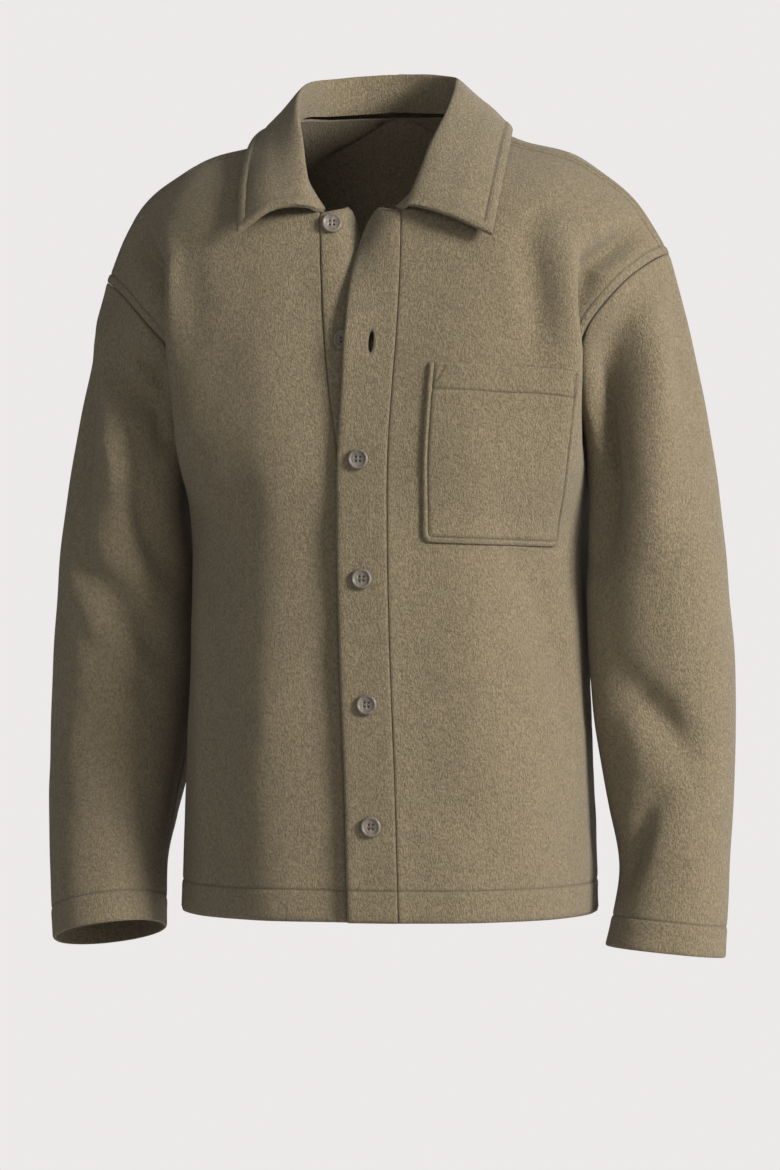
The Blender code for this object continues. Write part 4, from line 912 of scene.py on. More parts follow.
class Panel:
    """A cloth piece in left-side form: face points, normals, the relief on it and its sewn lines.

    Cells in skipped are left out of its wall, and each pair of corners in joined becomes one corner.
    """

    def __init__(self, points, normals):
        self.points = points
        self.normals = normals
        self.height = np.zeros(points.shape[:2])
        self.pressed_and_shaded = np.zeros(points.shape[:2])
        self.lines = []
        self.holes = []
        self.skipped = ()
        self.joined = ()

    def press_and_shade(self, amount):
        """Presses the nap in and paints shade on it, where neither is deeper already."""
        self.pressed_and_shaded = np.maximum(self.pressed_and_shaded, amount)

    def press(self, distance, pairs, lines, within=1.0):
        """Adds relief by distance from an edge, with the nap pressed in and shade painted at each sewn
        line.
        """
        self.height += relief(distance, pairs) * within
        for line in lines:
            self.press_and_shade(crevice(distance, line) * within)

    def turn_hem(self, above, height):
        """A turned hem: its line of stitching, the puffed cloth below it and the soft edge."""
        self.height += relief(above - height, HEM_LINE) + relief(above, HEM_EDGE)
        # Painted shade along the hem's line of stitching, with the nap pressed flat there.
        self.press_and_shade(crevice(above, height))

    def face(self):
        return self.points + self.normals * self.height[..., None]

    def surface(self):
        """The face's points, each with its normal."""
        return np.concatenate((self.face(), self.normals), axis=2)

    def band_seam(self):
        """A front's edge from the hem to the band's top: its points, each with its normal."""
        rows = slice(0, self.neck + 1)
        return np.concatenate((self.points[rows, 0], self.normals[rows, 0]), axis=1)


def body_panel(half, places, seam_steps, sewn, sizes):
    """A front or half back, read from half the body at row places, before its seams are pressed."""
    grid, normals, _ = half
    armhole_steps = edge_steps(sizes.topstitch)
    points, face_normals, aims = read_rows(
        grid, normals, places, lambda n: edge_to_edge(n, seam_steps, BODY_STEPS, armhole_steps), sewn)
    panel = Panel(points, face_normals)
    panel.aims = aims
    return panel


def press_seams(panel, plain, armhole, shoulder, sizes):
    """Presses a front's or half back's seams, given as distances from each, and turns its hem."""
    for seam in plain:
        panel.press(seam, PLAIN_SEAM, (0.0,))
    rising = eased(0.0, 0.010, panel.points[..., 2] - ARMHOLE_START)
    lines = (0.0, sizes.topstitch)
    panel.press(armhole, stitched_edge(sizes.topstitch), lines, rising)
    panel.press(shoulder, stitched_edge(sizes.topstitch), lines)
    panel.turn_hem(panel.points[..., 2] - HEM_Z, sizes.hem)


def front_panel(side, sizes):
    """The outer face of one front, with its seams and topstitching."""
    half = half_body(side)
    grid, _, stops = half
    underarm, band_top, shoulder = stops[1:4]
    places = np.concatenate((
        even_steps((0.0, underarm, band_top, shoulder - 3.0), FRONT_STEPS),
        shoulder - np.array(edge_steps(sizes.topstitch)[::-1]) / SHOULDER_PITCH,
    ))
    centre, per_metre = hem_place(grid, 0, underarm, sizes.hem)
    places = with_line(np.unique(np.round(places, 4)), centre, per_metre)
    panel = body_panel(half, places, SEAM_STEPS, (False, True), sizes)
    panel.underarm = low = nearest(places, underarm)
    panel.neck = neck = nearest(places, band_top)
    points = panel.points
    panel.height += unevenness(points, *UNEVEN["front"])
    armhole = distance_to(points, points[low:, -1])
    shoulder_seam = distance_to(points, points[-1])
    seams = (points[:low + 1, -1], points[:neck + 1, 0], points[neck:, 0])
    plain = [distance_to(points, seam) for seam in seams]
    press_seams(panel, plain, armhole, shoulder_seam, sizes)
    surface = panel.surface()
    rows = slice(low + 6, None)
    panel.lines = [
        crossing(turned(surface)[4:-5], shoulder_seam.T[4:-5], sizes.topstitch),
        surface[nearest(places, centre)],
        crossing(surface[rows], armhole[rows], sizes.topstitch),
    ]
    return panel


def back_panel(side, sizes):
    """The outer face of half the back, from the shoulder down to the hem."""
    half = half_body(side)
    grid, _, stops = half
    shoulder, nape, underarm, last = stops[3:]
    places = np.concatenate((
        shoulder + np.array(edge_steps(sizes.topstitch)) / SHOULDER_PITCH,
        even_steps((shoulder + 3.6, nape, underarm, last), BACK_STEPS),
    ))
    centre, per_metre = hem_place(grid, underarm, len(grid), sizes.hem)
    places = with_line(places, centre, abs(per_metre))
    panel = body_panel(half, places, MIDDLE_STEPS, (True, False), sizes)
    panel.nape = nearest(places, nape)
    panel.underarm = high = nearest(places, underarm)
    points = panel.points
    armhole = distance_to(points, points[:high + 1, -1])
    shoulder_seam = distance_to(points, points[0])
    seams = (points[high:, -1], points[:panel.nape + 1, 0])
    plain = [distance_to(points, seam) for seam in seams]
    press_seams(panel, plain, armhole, shoulder_seam, sizes)
    surface = panel.surface()
    rows = slice(0, high - 5)
    panel.lines = [
        surface[nearest(places, centre)],
        crossing(surface[rows], armhole[rows], sizes.topstitch),
        crossing(turned(surface)[:, ::-1], shoulder_seam.T[:, ::-1], sizes.topstitch),
    ]
    return panel


def armhole_between(front, back):
    """The armhole up the front panel and down the back one: points, aims, normals and turns."""
    low, high = front.underarm, back.underarm
    points = np.concatenate((front.points[low:, -1], back.points[1:high, -1]))
    aims = np.concatenate((front.aims[low:], back.aims[1:high]))
    normals = np.concatenate((front.normals[low:, -1], back.normals[1:high, -1]))
    turns = []
    for part, span in ((front.points[low:, -1], (180.0, 0.0)), (back.points[:high + 1, -1], (0.0, -180.0))):
        along = length_along(part)
        turns.append(np.interp(along, (0.0, along[-1]), span))
    turns = np.radians(np.concatenate((turns[0], turns[1][1:-1])))
    return points + aims * SEAM_GAP / 2, aims, normals, turns


def sleeve_panel(side, armhole, sizes):
    """The outer face of one sleeve, from the armhole to the cuff."""
    dense, normals = sleeve_dense(side, armhole)
    both = np.concatenate((dense, normals), axis=2)
    far = np.concatenate((CUFF_STEPS, sizes.hem + np.array(LINE_STEPS)))
    grid = np.stack([
        respaced_part(column, lambda n: edge_to_edge(n, SEAM_STEPS, SLEEVE_STEPS, far), False, False)
        for column in turned(both)
    ], axis=1)
    panel = Panel(grid[..., :3], unit(grid[..., 3:]))
    panel.height += unevenness(panel.points, *UNEVEN["sleeve"])
    from_top = length_down(panel.points)
    panel.press(from_top, PLAIN_SEAM, (0.0,))
    panel.turn_hem(from_top[-1] - from_top, sizes.hem)
    panel.press(distance_to(panel.points, panel.points[:, 0]), PLAIN_SEAM, (0.0,))
    line = panel.surface()[-1 - nearest(far, sizes.hem)]
    panel.lines.append(np.concatenate((line, line[:1])))
    return panel


def collar_panel(sizes):
    """The collar's visible face from the wearer's left front end round to the right."""
    line = sizes.collar_topstitch
    parts = [np.linspace(*part) for part in COLLAR_ACROSS]
    across = np.concatenate(parts + [1.0 - np.array(edge_steps(line)[::-1]) / COLLAR_GIRTH])
    grid, normals = collar_grid(across)
    panel = Panel(grid, normals)
    outer_edge = distance_to(grid, grid[:, -1])
    ends = [distance_to(grid, end[COLLAR_FOLD_COLUMN:]) for end in (grid[0], grid[-1])]
    rim = np.minimum(outer_edge, np.minimum(*ends))
    panel.press(rim, stitched_edge(line), (line,), eased(0.36, 0.46, across))
    panel.height += unevenness(grid, *UNEVEN["collar"])
    panel.lines.append(crossing(panel.surface(), outer_edge, line))
    return panel


def rounded(base, up, radius):
    """A grid of points and normals, its first rows drawn in at both ends to round two corners."""
    inset = radius - np.sqrt(np.maximum(radius ** 2 - np.maximum(radius - up, 0.0) ** 2, 0.0))
    for r in np.nonzero(inset > 0)[0]:
        along = length_along(base[r, :, :3])
        base[r] = read_line(inset[r] + along * (1 - 2 * inset[r] / along[-1]), along, base[r])
        base[r, :, 3:] = unit(base[r, :, 3:])
    return base[..., :3], base[..., 3:]


def pocket_panel(sizes):
    """The patch pocket's outer face, made from the points of the front that it lies on."""
    grid, normals, stops = half_body("left")
    low = row_of(grid, POCKET_TOP_Z - POCKET_HEIGHT, 0, stops[1])
    high = row_of(grid, POCKET_TOP_Z, 0, stops[2])
    beside = np.concatenate((POCKET_STEPS, np.arange(0.0083, 0.0150, 0.0007)))
    facing = POCKET_HEIGHT - sizes.pocket_facing + np.array(LINE_STEPS)
    up = np.concatenate((
        POCKET_STEPS, np.linspace(0.0100, facing[0] - 0.002, POCKET_ROWS[0]), facing,
        np.linspace(facing[-1] + 0.0007, POCKET_HEIGHT - 0.0023, POCKET_ROWS[1]),
        POCKET_HEIGHT - np.array([0.0016, 0.0006, 0.0]),
    ))
    across = POCKET_FROM_PLACKET + edge_to_edge(POCKET_WIDTH, beside, POCKET_COLUMNS)
    places = low + (high - low) * up / POCKET_HEIGHT
    base, base_normals, _ = read_rows(grid, normals, places, lambda n: np.append(across, n), (False, False))
    base, base_normals = rounded(
        np.concatenate((base, base_normals), axis=2)[:, :-1], up, sizes.pocket_corner)
    panel = Panel(base + base_normals * (SEAM_GAP + POCKET_PLY), base_normals)
    points = panel.points
    border = sizes.pocket_border
    rim = distance_to(points, np.concatenate((points[::-1, 0], points[0, 1:-1], points[:, -1])))
    top = distance_to(points, points[-1])
    across = length_along(points[-1])
    panel.press(rim, stitched_edge(border), (border,))
    panel.height += relief(top, HEM_EDGE) + relief(sizes.pocket_facing - top, HEM_LINE) * (rim > border)
    # Painted shade along the facing's stitching, with the nap pressed flat there.
    panel.press_and_shade(crevice(top, sizes.pocket_facing) * (rim > border * 0.9))
    flat = np.concatenate((points, panel.normals), axis=2)
    for corners in POCKET_TACKS:
        off = distance_to(points, tack_line(flat, across, up, corners)[:, :3])
        # Painted shade along each tack's stitching, with the nap pressed flat there.
        panel.press_and_shade(crevice(off, 0.0))
        panel.height += relief(off, PLAIN_SEAM)
    surface = panel.surface()
    sides = slice(int(np.searchsorted(up, border + 0.003)), len(up) - 1)
    middle = (across > border + 0.003) & (across < across[-1] - border - 0.003)
    left = crossing(surface[sides, ::-1], rim[sides, ::-1], border)
    right = crossing(surface[sides], rim[sides], border)
    bottom = crossing(turned(surface[::-1, middle]), rim[::-1, middle].T, border)
    inside = (across > border) & (across < across[-1] - border)
    panel.lines = [
        np.concatenate((left[::-1], bottom, right)),
        surface[nearest(up, POCKET_HEIGHT - sizes.pocket_facing), inside],
    ]
    panel.lines += [tack_line(surface, across, up, corners) for corners in POCKET_TACKS]
    return panel


def tack_line(face, across, up, corners):
    """The sides of a sewn triangle as a closed line of points and normals on the pocket."""
    spots = np.array([(x % across[-1], POCKET_HEIGHT - down) for x, down in corners + corners[:1]])
    steps = np.linspace(0.0, len(corners), TACK_SIDE_STEPS * len(corners) + 1)
    places = read_line(steps, np.arange(len(spots)), spots)
    return np.array([spot_on(face, across, up, x, z) for x, z in places])


def spot_on(face, across, up, x, z):
    """The point and normal of a grid at one distance across it and one distance up it."""
    row = np.array([np.interp(z, up, face[:, c, k]) for c in range(face.shape[1]) for k in range(6)])
    return read_line([x], across, row.reshape(face.shape[1], 6))[0]


def with_slit(seam):
    """The over band's seam with even rows from the bottom of the open buttonhole to its top."""
    along = length_along(seam[:, :3])
    slit = np.interp(
        BUTTONHOLE_Z + BUTTONHOLE_LENGTH * np.linspace(-0.5, 0.5, SLIT_STEPS + 1), seam[:, 2], along)
    keep = (along < slit[0] - 0.001) | (along > slit[-1] + 0.001)
    return read_line(np.sort(np.concatenate((along[keep], slit))), along, seam)


def close_slit(grid, heights, column):
    """Brings the two columns of the slit together at its ends, to give it the shape of a lens."""
    off = (heights - BUTTONHOLE_Z) / (BUTTONHOLE_LENGTH / 2)
    lens = np.sqrt(np.clip(1 - off ** 2, 0.0, 1.0))
    reach = np.exp(-np.maximum(np.abs(off) - 1, 0.0) * 3.0)
    shift = (1 - lens) * reach * BUTTONHOLE_GAP / 2 * 0.9
    step = unit(grid[:, column + 1] - grid[:, column])
    for k, weight in ((-2, 0.3), (-1, 0.6), (0, 1.0)):
        grid[:, column + k] += step * (shift * weight)[:, None]
        grid[:, column + 1 - k] -= step * (shift * weight)[:, None]


def slit_rim(grid, rows, column):
    """The closed rim of the slit between a column and the next."""
    return np.concatenate((grid[rows, column], grid[rows[::-1], column + 1], grid[rows[:1], column]))


def flat_hole(face, heights, places):
    """The rim of the closed, level buttonhole close under the over band's top end."""
    turns = np.linspace(0.0, 2 * math.pi, TOP_HOLE["steps"] + 1)
    order = np.argsort(heights)
    across = TOP_HOLE["across"] + TOP_HOLE["half_length"] * np.cos(turns)
    levels = TOP_HOLE["z"] + TOP_HOLE["half_height"] * np.sin(turns)
    return np.array([spot_on(face[order], places, heights[order], x, z) for x, z in zip(across, levels)])


def band_panel(side, front, sizes):
    """A button band's outer face; the over band has its open buttonhole between two columns."""
    over = side == "left"
    seam = with_slit(front.band_seam()) if over else front.band_seam()
    inner, outer = BUTTONHOLE_FROM_SEAM - BUTTONHOLE_GAP / 2, BUTTONHOLE_FROM_SEAM + BUTTONHOLE_GAP / 2
    places = np.concatenate((
        SEAM_GAP + np.array([0.0, 0.0006, 0.0016, 0.0034]),
        np.linspace(0.006, inner - 0.0035, 6), inner - np.array([0.0022, 0.0010, 0.0]),
        outer + np.array([0.0, 0.0010, 0.0022]), np.linspace(outer + 0.0035, PLACKET_WIDTH - 0.008, 7),
        PLACKET_WIDTH - np.array([0.0050, 0.0026, 0.0012, 0.0005, 0.0]),
    ))
    grid, normals = band_grid(side, seam, places)
    heights = seam[:, 2]
    column = nearest(places, inner)
    if over:
        close_slit(grid, heights, column)
    panel = Panel(grid, normals)
    rest = np.minimum(distance_to(grid, grid[:, -1]), distance_to(grid, grid[-1]))
    above = grid[..., 2] - HEM_Z
    panel.press(distance_to(grid, grid[:, 0]), PLAIN_SEAM, (0.0,))
    panel.press(rest, BAND_EDGE, ())
    panel.turn_hem(above, sizes.hem)
    panel.height += unevenness(grid, *UNEVEN["band_" + side])
    if over:
        rows = np.nonzero(np.abs(heights - BUTTONHOLE_Z) < BUTTONHOLE_LENGTH / 2 + 1e-6)[0]
        panel.skipped = [(r, column) for r in rows[:-1]]
        hole = distance_to(grid, slit_rim(grid, rows, column))
        panel.height += relief(hole, HOLE_EDGE)
        # Painted shade round the open buttonhole: the cloth is darkened there as if in the hole's shadow,
        # and its nap pressed flat.
        panel.press_and_shade(1.4 * (1 - eased(0.0004, 0.0026, hole)))
        surface = panel.surface()
        panel.holes = [slit_rim(surface, rows, column), flat_hole(surface, heights, places)]
    panel.lines.append(panel.surface()[nearest(above[:, 0], sizes.hem)])
    return panel


@functools.lru_cache(maxsize=1)
def cut_pieces(sizes):
    """Every cloth piece's panel by name, in left-side form where the piece has a right twin."""
    pieces = {}
    for side in SIDES:
        front = front_panel(side, sizes)
        back = back_panel(side, sizes)
        pieces["front_" + side] = front
        pieces["back_" + side] = back
        pieces["sleeve_" + side] = sleeve_panel(side, armhole_between(front, back), sizes)
        pieces["band_" + side] = band_panel(side, front, sizes)
    pieces["collar"] = collar_panel(sizes)
    pieces["pocket"] = pocket_panel(sizes)
    return pieces


def whole_back(pieces):
    """Both halves of the back as one panel, its middle column doubled above the nape."""
    left, right = pieces["back_left"], pieces["back_right"]
    nape, middle = left.nape, right.points.shape[1] - 1
    points = np.concatenate((mirrored(right.points)[:, ::-1], left.points), axis=1)
    normals = np.concatenate((mirrored(right.normals)[:, ::-1], left.normals), axis=1)
    height = np.concatenate((right.height[:, ::-1], left.height), axis=1)
    pressed_and_shaded = np.concatenate((right.pressed_and_shaded[:, ::-1], left.pressed_and_shaded), axis=1)
    for values in (points, normals, height, pressed_and_shaded):
        values[nape:, middle] = values[nape:, middle + 1] = values[nape:, middle:middle + 2].mean(axis=1)
    normals[nape:, middle:middle + 2] = unit(normals[nape:, middle:middle + 2])
    panel = Panel(points, normals)
    panel.height = height + unevenness(points, *UNEVEN["back"])
    panel.pressed_and_shaded = pressed_and_shaded
    panel.skipped = [(r, middle) for r in range(len(points))]
    panel.joined = [((r, middle + 1), (r, middle)) for r in range(nape, len(points))]
    return panel


def new_piece(name, points, faces, finish, replaced=()):
    """Links a mesh with its faces pointing out, gives it its finish and rides it on the garment."""
    mesh = bpy.data.meshes.new(name)
    mesh.from_pydata(np.asarray(points).tolist(), [], faces)
    work = bmesh.new()
    work.from_mesh(mesh)
    bmesh.ops.recalc_face_normals(work, faces=work.faces)
    if work.calc_volume(signed=True) < 0:
        bmesh.ops.reverse_faces(work, faces=work.faces)
    work.to_mesh(mesh)
    work.free()
    mesh.shade_smooth()
    mesh.set_sharp_from_angle(angle=math.radians(75))
    mesh.materials.append(finish)
    piece = bpy.data.objects.new(name, mesh)
    bpy.context.scene.collection.objects.link(piece)
    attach(piece, "root")
    if replaced:
        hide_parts(*replaced)
    return piece


def cloth_piece(name, panel, thickness, finish, node, mirror=False, closed=False):
    """Makes a panel a closed wall; closed joins its last column to its first."""
    outer, inner = panel.face(), panel.points - panel.normals * thickness
    if mirror:
        outer, inner = mirrored(outer), mirrored(inner)
    rows, columns = outer.shape[:2]
    layer = rows * columns
    skipped = set(panel.skipped)
    same = {a[0] * columns + a[1]: b[0] * columns + b[1] for a, b in panel.joined}

    def corner(r, c):
        k = r * columns + c % columns
        return same.get(k, k)

    faces, rim = [], {}
    for r in range(rows - 1):
        for c in range(columns if closed else columns - 1):
            if (r, c) in skipped:
                continue
            ring = (corner(r, c), corner(r, c + 1), corner(r + 1, c + 1), corner(r + 1, c))
            faces.append(ring)
            faces.append(tuple(k + layer for k in reversed(ring)))
            for a, b in zip(ring, ring[1:] + ring[:1]):
                if rim.pop((b, a), None) is None:
                    rim[(a, b)] = True
    faces += [(b, a, a + layer, b + layer) for a, b in rim]
    used = sorted({k for face in faces for k in face})
    place = {k: n for n, k in enumerate(used)}
    points = np.concatenate((outer.reshape(-1, 3), inner.reshape(-1, 3)))[used]
    faces = [tuple(place[k] for k in face) for face in faces]
    piece = new_piece(name, points, faces, finish, (node,))
    # The mask of pressed nap and painted seam shade goes on the mesh for the wool finish.
    pressed_and_shaded = np.concatenate((panel.pressed_and_shaded.reshape(-1), np.zeros(layer)))[used]
    made = piece.data.attributes.new("pressed_and_shaded", "FLOAT", "POINT")
    made.data.foreach_set("value", pressed_and_shaded.astype(np.float32))
    return piece


def stitches_along(line, sizes):
    """Middle, direction and normal of each stitch along a line of points and normals."""
    along = length_along(line[:, :3])
    count = int(along[-1] / (sizes.stitch + STITCH_GAP))
    starts = (np.arange(count) + 0.15) * (along[-1] / max(count, 1))
    pairs = zip(read_line(starts, along, line), read_line(starts + sizes.stitch, along, line))
    return [stitch_between(p[:3], q[:3], p[3:] + q[3:]) for p, q in pairs]


def stitch_between(start, end, normal):
    return ((start + end) / 2, end - start, normal)


def stitching(name, stitches, sizes, finish, mirror=False):
    """One mesh of thread stitches, each bowed down into the cloth at both its ends."""
    radius = sizes.thread / 2
    points, faces = [], []
    for centre, run, normal in stitches:
        length = np.linalg.norm(run)
        along = run / length
        up = unit(normal - along * (normal @ along))
        side = np.cross(up, along)
        start = len(points)
        for part, girth, lift in STITCH_RINGS:
            middle = centre + along * (part * length) + up * (lift * radius)
            if girth == 0.0:
                points.append(middle)
                continue
            for k in range(STITCH_SIDES):
                turn = 2 * math.pi * k / STITCH_SIDES
                points.append(middle + (side * math.cos(turn) + up * math.sin(turn)) * (girth * radius))
        rings = len(STITCH_RINGS) - 2
        last = start + 1 + rings * STITCH_SIDES
        for k in range(STITCH_SIDES):
            n = (k + 1) % STITCH_SIDES
            faces.append((start, start + 1 + n, start + 1 + k))
            for ring in range(rings - 1):
                low = start + 1 + ring * STITCH_SIDES
                high = low + STITCH_SIDES
                faces.append((low + k, low + n, high + n, high + k))
            end = last - STITCH_SIDES
            faces.append((end + k, end + n, last))
    points = np.array(points)
    if mirror:
        points = mirrored(points)
    return new_piece(name, points, faces, finish)


def round_hole(rim):
    """Short stitches across a buttonhole's rim, pointing away from its middle."""
    middle = rim[:, :3].mean(axis=0)
    along = length_along(rim[:, :3])
    places = np.arange(0.0, along[-1], HOLE_STITCH["pitch"])
    found = []
    for spot, after in zip(read_line(places, along, rim), read_line(places + 0.0004, along, rim)):
        start, normal = spot[:3], unit(spot[3:])
        out = np.cross(after[:3] - start, normal)
        if np.linalg.norm(out) < 1e-9:
            continue
        out = unit(out) if out @ (start - middle) >= 0 else -unit(out)
        end = start + out * HOLE_STITCH["out"]
        found.append(stitch_between(start - out * HOLE_STITCH["in"], end, normal))
    return found


def ring_of(work, middle, radius, height, sides):
    """A level ring of new corners round a middle point."""
    turns = [2 * math.pi * k / sides for k in range(sides)]
    x, y = middle
    return [work.verts.new((x + radius * math.cos(a), y + radius * math.sin(a), height)) for a in turns]


def wall_between(work, low, high, inward=False):
    """Faces from one ring of corners to the next."""
    for a, b, c, d in zip(low, low[1:] + low[:1], high[1:] + high[:1], high):
        work.faces.new((a, d, c, b) if inward else (a, b, c, d))


def edges_of(work, ring):
    return [work.edges.get(pair) for pair in zip(ring, ring[1:] + ring[:1])]


def button_mesh(sizes):
    """A four-hole button with a raised, rounded rim, lying on its back at the origin."""
    radius = sizes.button / 2
    work = bmesh.new()
    rings = [
        ring_of(work, (0.0, 0.0), radius * share, height * BUTTON_THICKNESS, BUTTON_SIDES)
        for share, height in BUTTON_PROFILE
    ]
    for low, high in zip(rings, rings[1:]):
        wall_between(work, low, high)
    below, above = edges_of(work, rings[0]), edges_of(work, rings[-1])
    top = BUTTON_PROFILE[-1][1] * BUTTON_THICKNESS
    hole, reach = BUTTON_HOLE["radius"], BUTTON_HOLE["from_middle"]
    for x, y in ((reach, reach), (-reach, reach), (-reach, -reach), (reach, -reach)):
        circles = [
            ring_of(work, (x, y), hole * grow, height, BUTTON_HOLE["sides"])
            for height, grow in ((0.0, 1.0), (top - BUTTON_HOLE["rim"], 1.0), (top, BUTTON_HOLE["flare"]))
        ]
        for low, high in zip(circles, circles[1:]):
            wall_between(work, low, high, inward=True)
        below += edges_of(work, circles[0])
        above += edges_of(work, circles[-1])
    for edges in (below, above):
        bmesh.ops.triangle_fill(work, use_beauty=True, use_dissolve=False, edges=edges)
    points = np.array([vert.co[:] for vert in work.verts])
    work.verts.index_update()
    faces = [tuple(vert.index for vert in face.verts) for face in work.faces]
    work.free()
    return points, faces


def seated(points, centre, normal):
    """Points of a button, moved from the origin onto its seat."""
    up = unit(np.asarray(normal, float))
    side = unit(np.cross(np.array([0.0, 0.0, 1.0]), up))
    top = np.cross(up, side)
    return centre + points[:, :1] * side + points[:, 1:2] * top + (points[:, 2:] + SEAM_GAP) * up


class Signal:
    """An output socket of a finish, used in sums as a plain number is."""

    def __init__(self, finish, socket):
        self.finish = finish
        self.socket = socket

    def sum(self, operation, first, second):
        return self.finish.node("ShaderNodeMath", {"operation": operation}, {0: first, 1: second})

    def __add__(self, other):
        return self.sum("ADD", self, other)

    def __radd__(self, other):
        return self.sum("ADD", other, self)

    def __sub__(self, other):
        return self.sum("SUBTRACT", self, other)

    def __rsub__(self, other):
        return self.sum("SUBTRACT", other, self)

    def __mul__(self, other):
        return self.sum("MULTIPLY", self, other)

    def __rmul__(self, other):
        return self.sum("MULTIPLY", other, self)


class Finish:
    """A new material with a Principled shader, and the one method that adds nodes to it."""

    def __init__(self, name, roughness, **constants):
        self.material = bpy.data.materials.new(name)
        self.material.use_nodes = True
        self.tree = self.material.node_tree
        self.shader = self.tree.nodes["Principled BSDF"]
        self.shader.inputs["Roughness"].default_value = roughness
        for socket, value in constants.items():
            self.shader.inputs[socket.replace("_", " ")].default_value = value

    def node(self, kind, settings, sockets, output=0):
        """Adds a node: its settings first, then the values or links of its sockets."""
        made = self.tree.nodes.new(kind)
        for key, value in settings.items():
            setattr(made, key, value)
        for key, value in sockets.items():
            self.feed(made.inputs[key], value)
        return Signal(self, made.outputs[output])

    def feed(self, socket, value):
        if isinstance(value, Signal):
            self.tree.links.new(value.socket, socket)
        else:
            socket.default_value = value

    def place(self, stretch=(1.0, 1.0, 1.0)):
        """The piece's own coordinates in metres, stretched along its axes."""
        where = self.node("ShaderNodeTexCoord", {}, {}, output=3)
        return self.node("ShaderNodeMapping", {}, {"Vector": where, "Scale": stretch})

    def noise(self, where, scale, detail=2.0, roughness=0.5, distortion=0.0):
        return self.node("ShaderNodeTexNoise", {}, {
            "Vector": where, "Scale": scale, "Detail": detail, "Roughness": roughness,
            "Distortion": distortion,
        })

    def between(self, low, high, value):
        """A value stretched so that low becomes 0 and high becomes 1."""
        return self.node("ShaderNodeMapRange", {"interpolation_type": "SMOOTHSTEP"}, {
            "Value": value, "From Min": low, "From Max": high,
        })

    def blend(self, factor, first, second):
        """A colour between two, or links to them, by a factor."""
        return self.node("ShaderNodeMix", {"data_type": "RGBA"}, {0: factor, 6: first, 7: second}, output=2)

    def paint(self, colour, height=None, distance=0.001, strength=1.0):
        self.feed(self.shader.inputs["Base Color"], colour)
        if height is not None:
            self.feed(self.shader.inputs["Normal"], self.node(
                "ShaderNodeBump", {}, {"Strength": strength, "Distance": distance, "Height": height}))
        return self.material


def shade(colour, factor):
    """A colour made lighter or darker."""
    return tuple(min(c * factor, 1.0) for c in colour[:3]) + (1.0,)


def wool_finish(colours):
    """Thick felted wool: upright flecks of nap, soft mottling, and painted shade along seams, where the
    nap's bump is also pressed flat.
    """
    wool = Finish("napped_wool", 0.96, Sheen_Weight=0.10, Sheen_Roughness=0.50, Specular_IOR_Level=0.12)
    upright = wool.place((1.0, 1.0, 0.60))
    even = wool.place()
    fleck = wool.between(0.33, 0.67, wool.noise(upright, 720.0, 3.0, 0.6, 0.4))
    hair = wool.between(0.30, 0.70, wool.noise(upright, 1500.0, 2.0, 0.6, 1.2))
    mottle = wool.between(0.30, 0.70, wool.noise(even, 95.0, 3.0, 0.55))
    cloud = wool.between(0.25, 0.75, wool.noise(even, 17.0, 2.0, 0.5))
    pressed_and_shaded = wool.node("ShaderNodeAttribute", {"attribute_name": "pressed_and_shaded"}, {}, output=2)
    tone = fleck * 0.58 + hair * 0.30 + mottle * 0.06 + cloud * 0.06
    colour = wool.blend(tone, shade(colours.wool, 0.58), shade(colours.wool, 1.44))
    warm = wool.between(0.55, 0.80, wool.noise(even, 340.0, 2.0))
    colour = wool.blend(warm * 0.22, colour, tuple(colours.fleck) + (1.0,))
    # Painted shade: the cloth's colour is darkened along seams, stitching and buttonhole rims, standing in
    # for the shade in their grooves.
    colour = wool.blend(pressed_and_shaded * 0.45, colour, shade(colours.wool, 0.42))
    height = (fleck * 0.6 + hair * 0.3 + mottle * 0.35) * (1.0 - pressed_and_shaded * 0.6)
    return wool.paint(colour, height, 0.0013, 0.85)


def thread_finish(colours):
    """Twisted thread a shade darker than the cloth."""
    thread = Finish("sewing_thread", 0.7, Sheen_Weight=0.1)
    twist = thread.between(0.35, 0.65, thread.noise(thread.place(), 2600.0, 1.0))
    colour = thread.blend(twist, shade(colours.thread, 0.72), shade(colours.thread, 1.25))
    return thread.paint(colour, twist, 0.0001, 0.5)


def button_finish(colours):
    """Moulded button: clouded grey-brown with a few darker streaks and a soft polish."""
    button = Finish("moulded_button", 0.42, Specular_IOR_Level=0.45)
    cloud = button.between(0.30, 0.72, button.noise(button.place((1.0, 1.0, 0.45)), 210.0, 3.0, 0.55, 1.6))
    grain = button.between(0.35, 0.65, button.noise(button.place(), 1700.0, 2.0))
    tone = cloud * 0.8 + grain * 0.2
    colour = button.blend(tone, shade(colours.button, 0.68), shade(colours.button, 1.40))
    button.feed(button.shader.inputs["Roughness"], 0.34 + grain * 0.18)
    return button.paint(colour, grain, 0.00008, 0.5)


def floor_finish(colours):
    floor = Finish("pale_floor", 0.8)
    grain = floor.noise(floor.place(), 6.0, 3.0)
    return floor.paint(floor.blend(grain, shade(colours.floor, 0.985), shade(colours.floor, 1.01)))


def shared_finish(name, make, colours):
    """The finish of that name, made on first use."""
    return bpy.data.materials.get(name) or make(colours)


def length_setting(name, description, default, least, precision=4):
    return bpy.props.FloatProperty(
        name=name, description=description, default=default, min=least, unit="LENGTH", precision=precision)


def colour_setting(name, description, default):
    return bpy.props.FloatVectorProperty(
        name=name, description=description, default=default, subtype="COLOR", min=0.0, max=1.0)


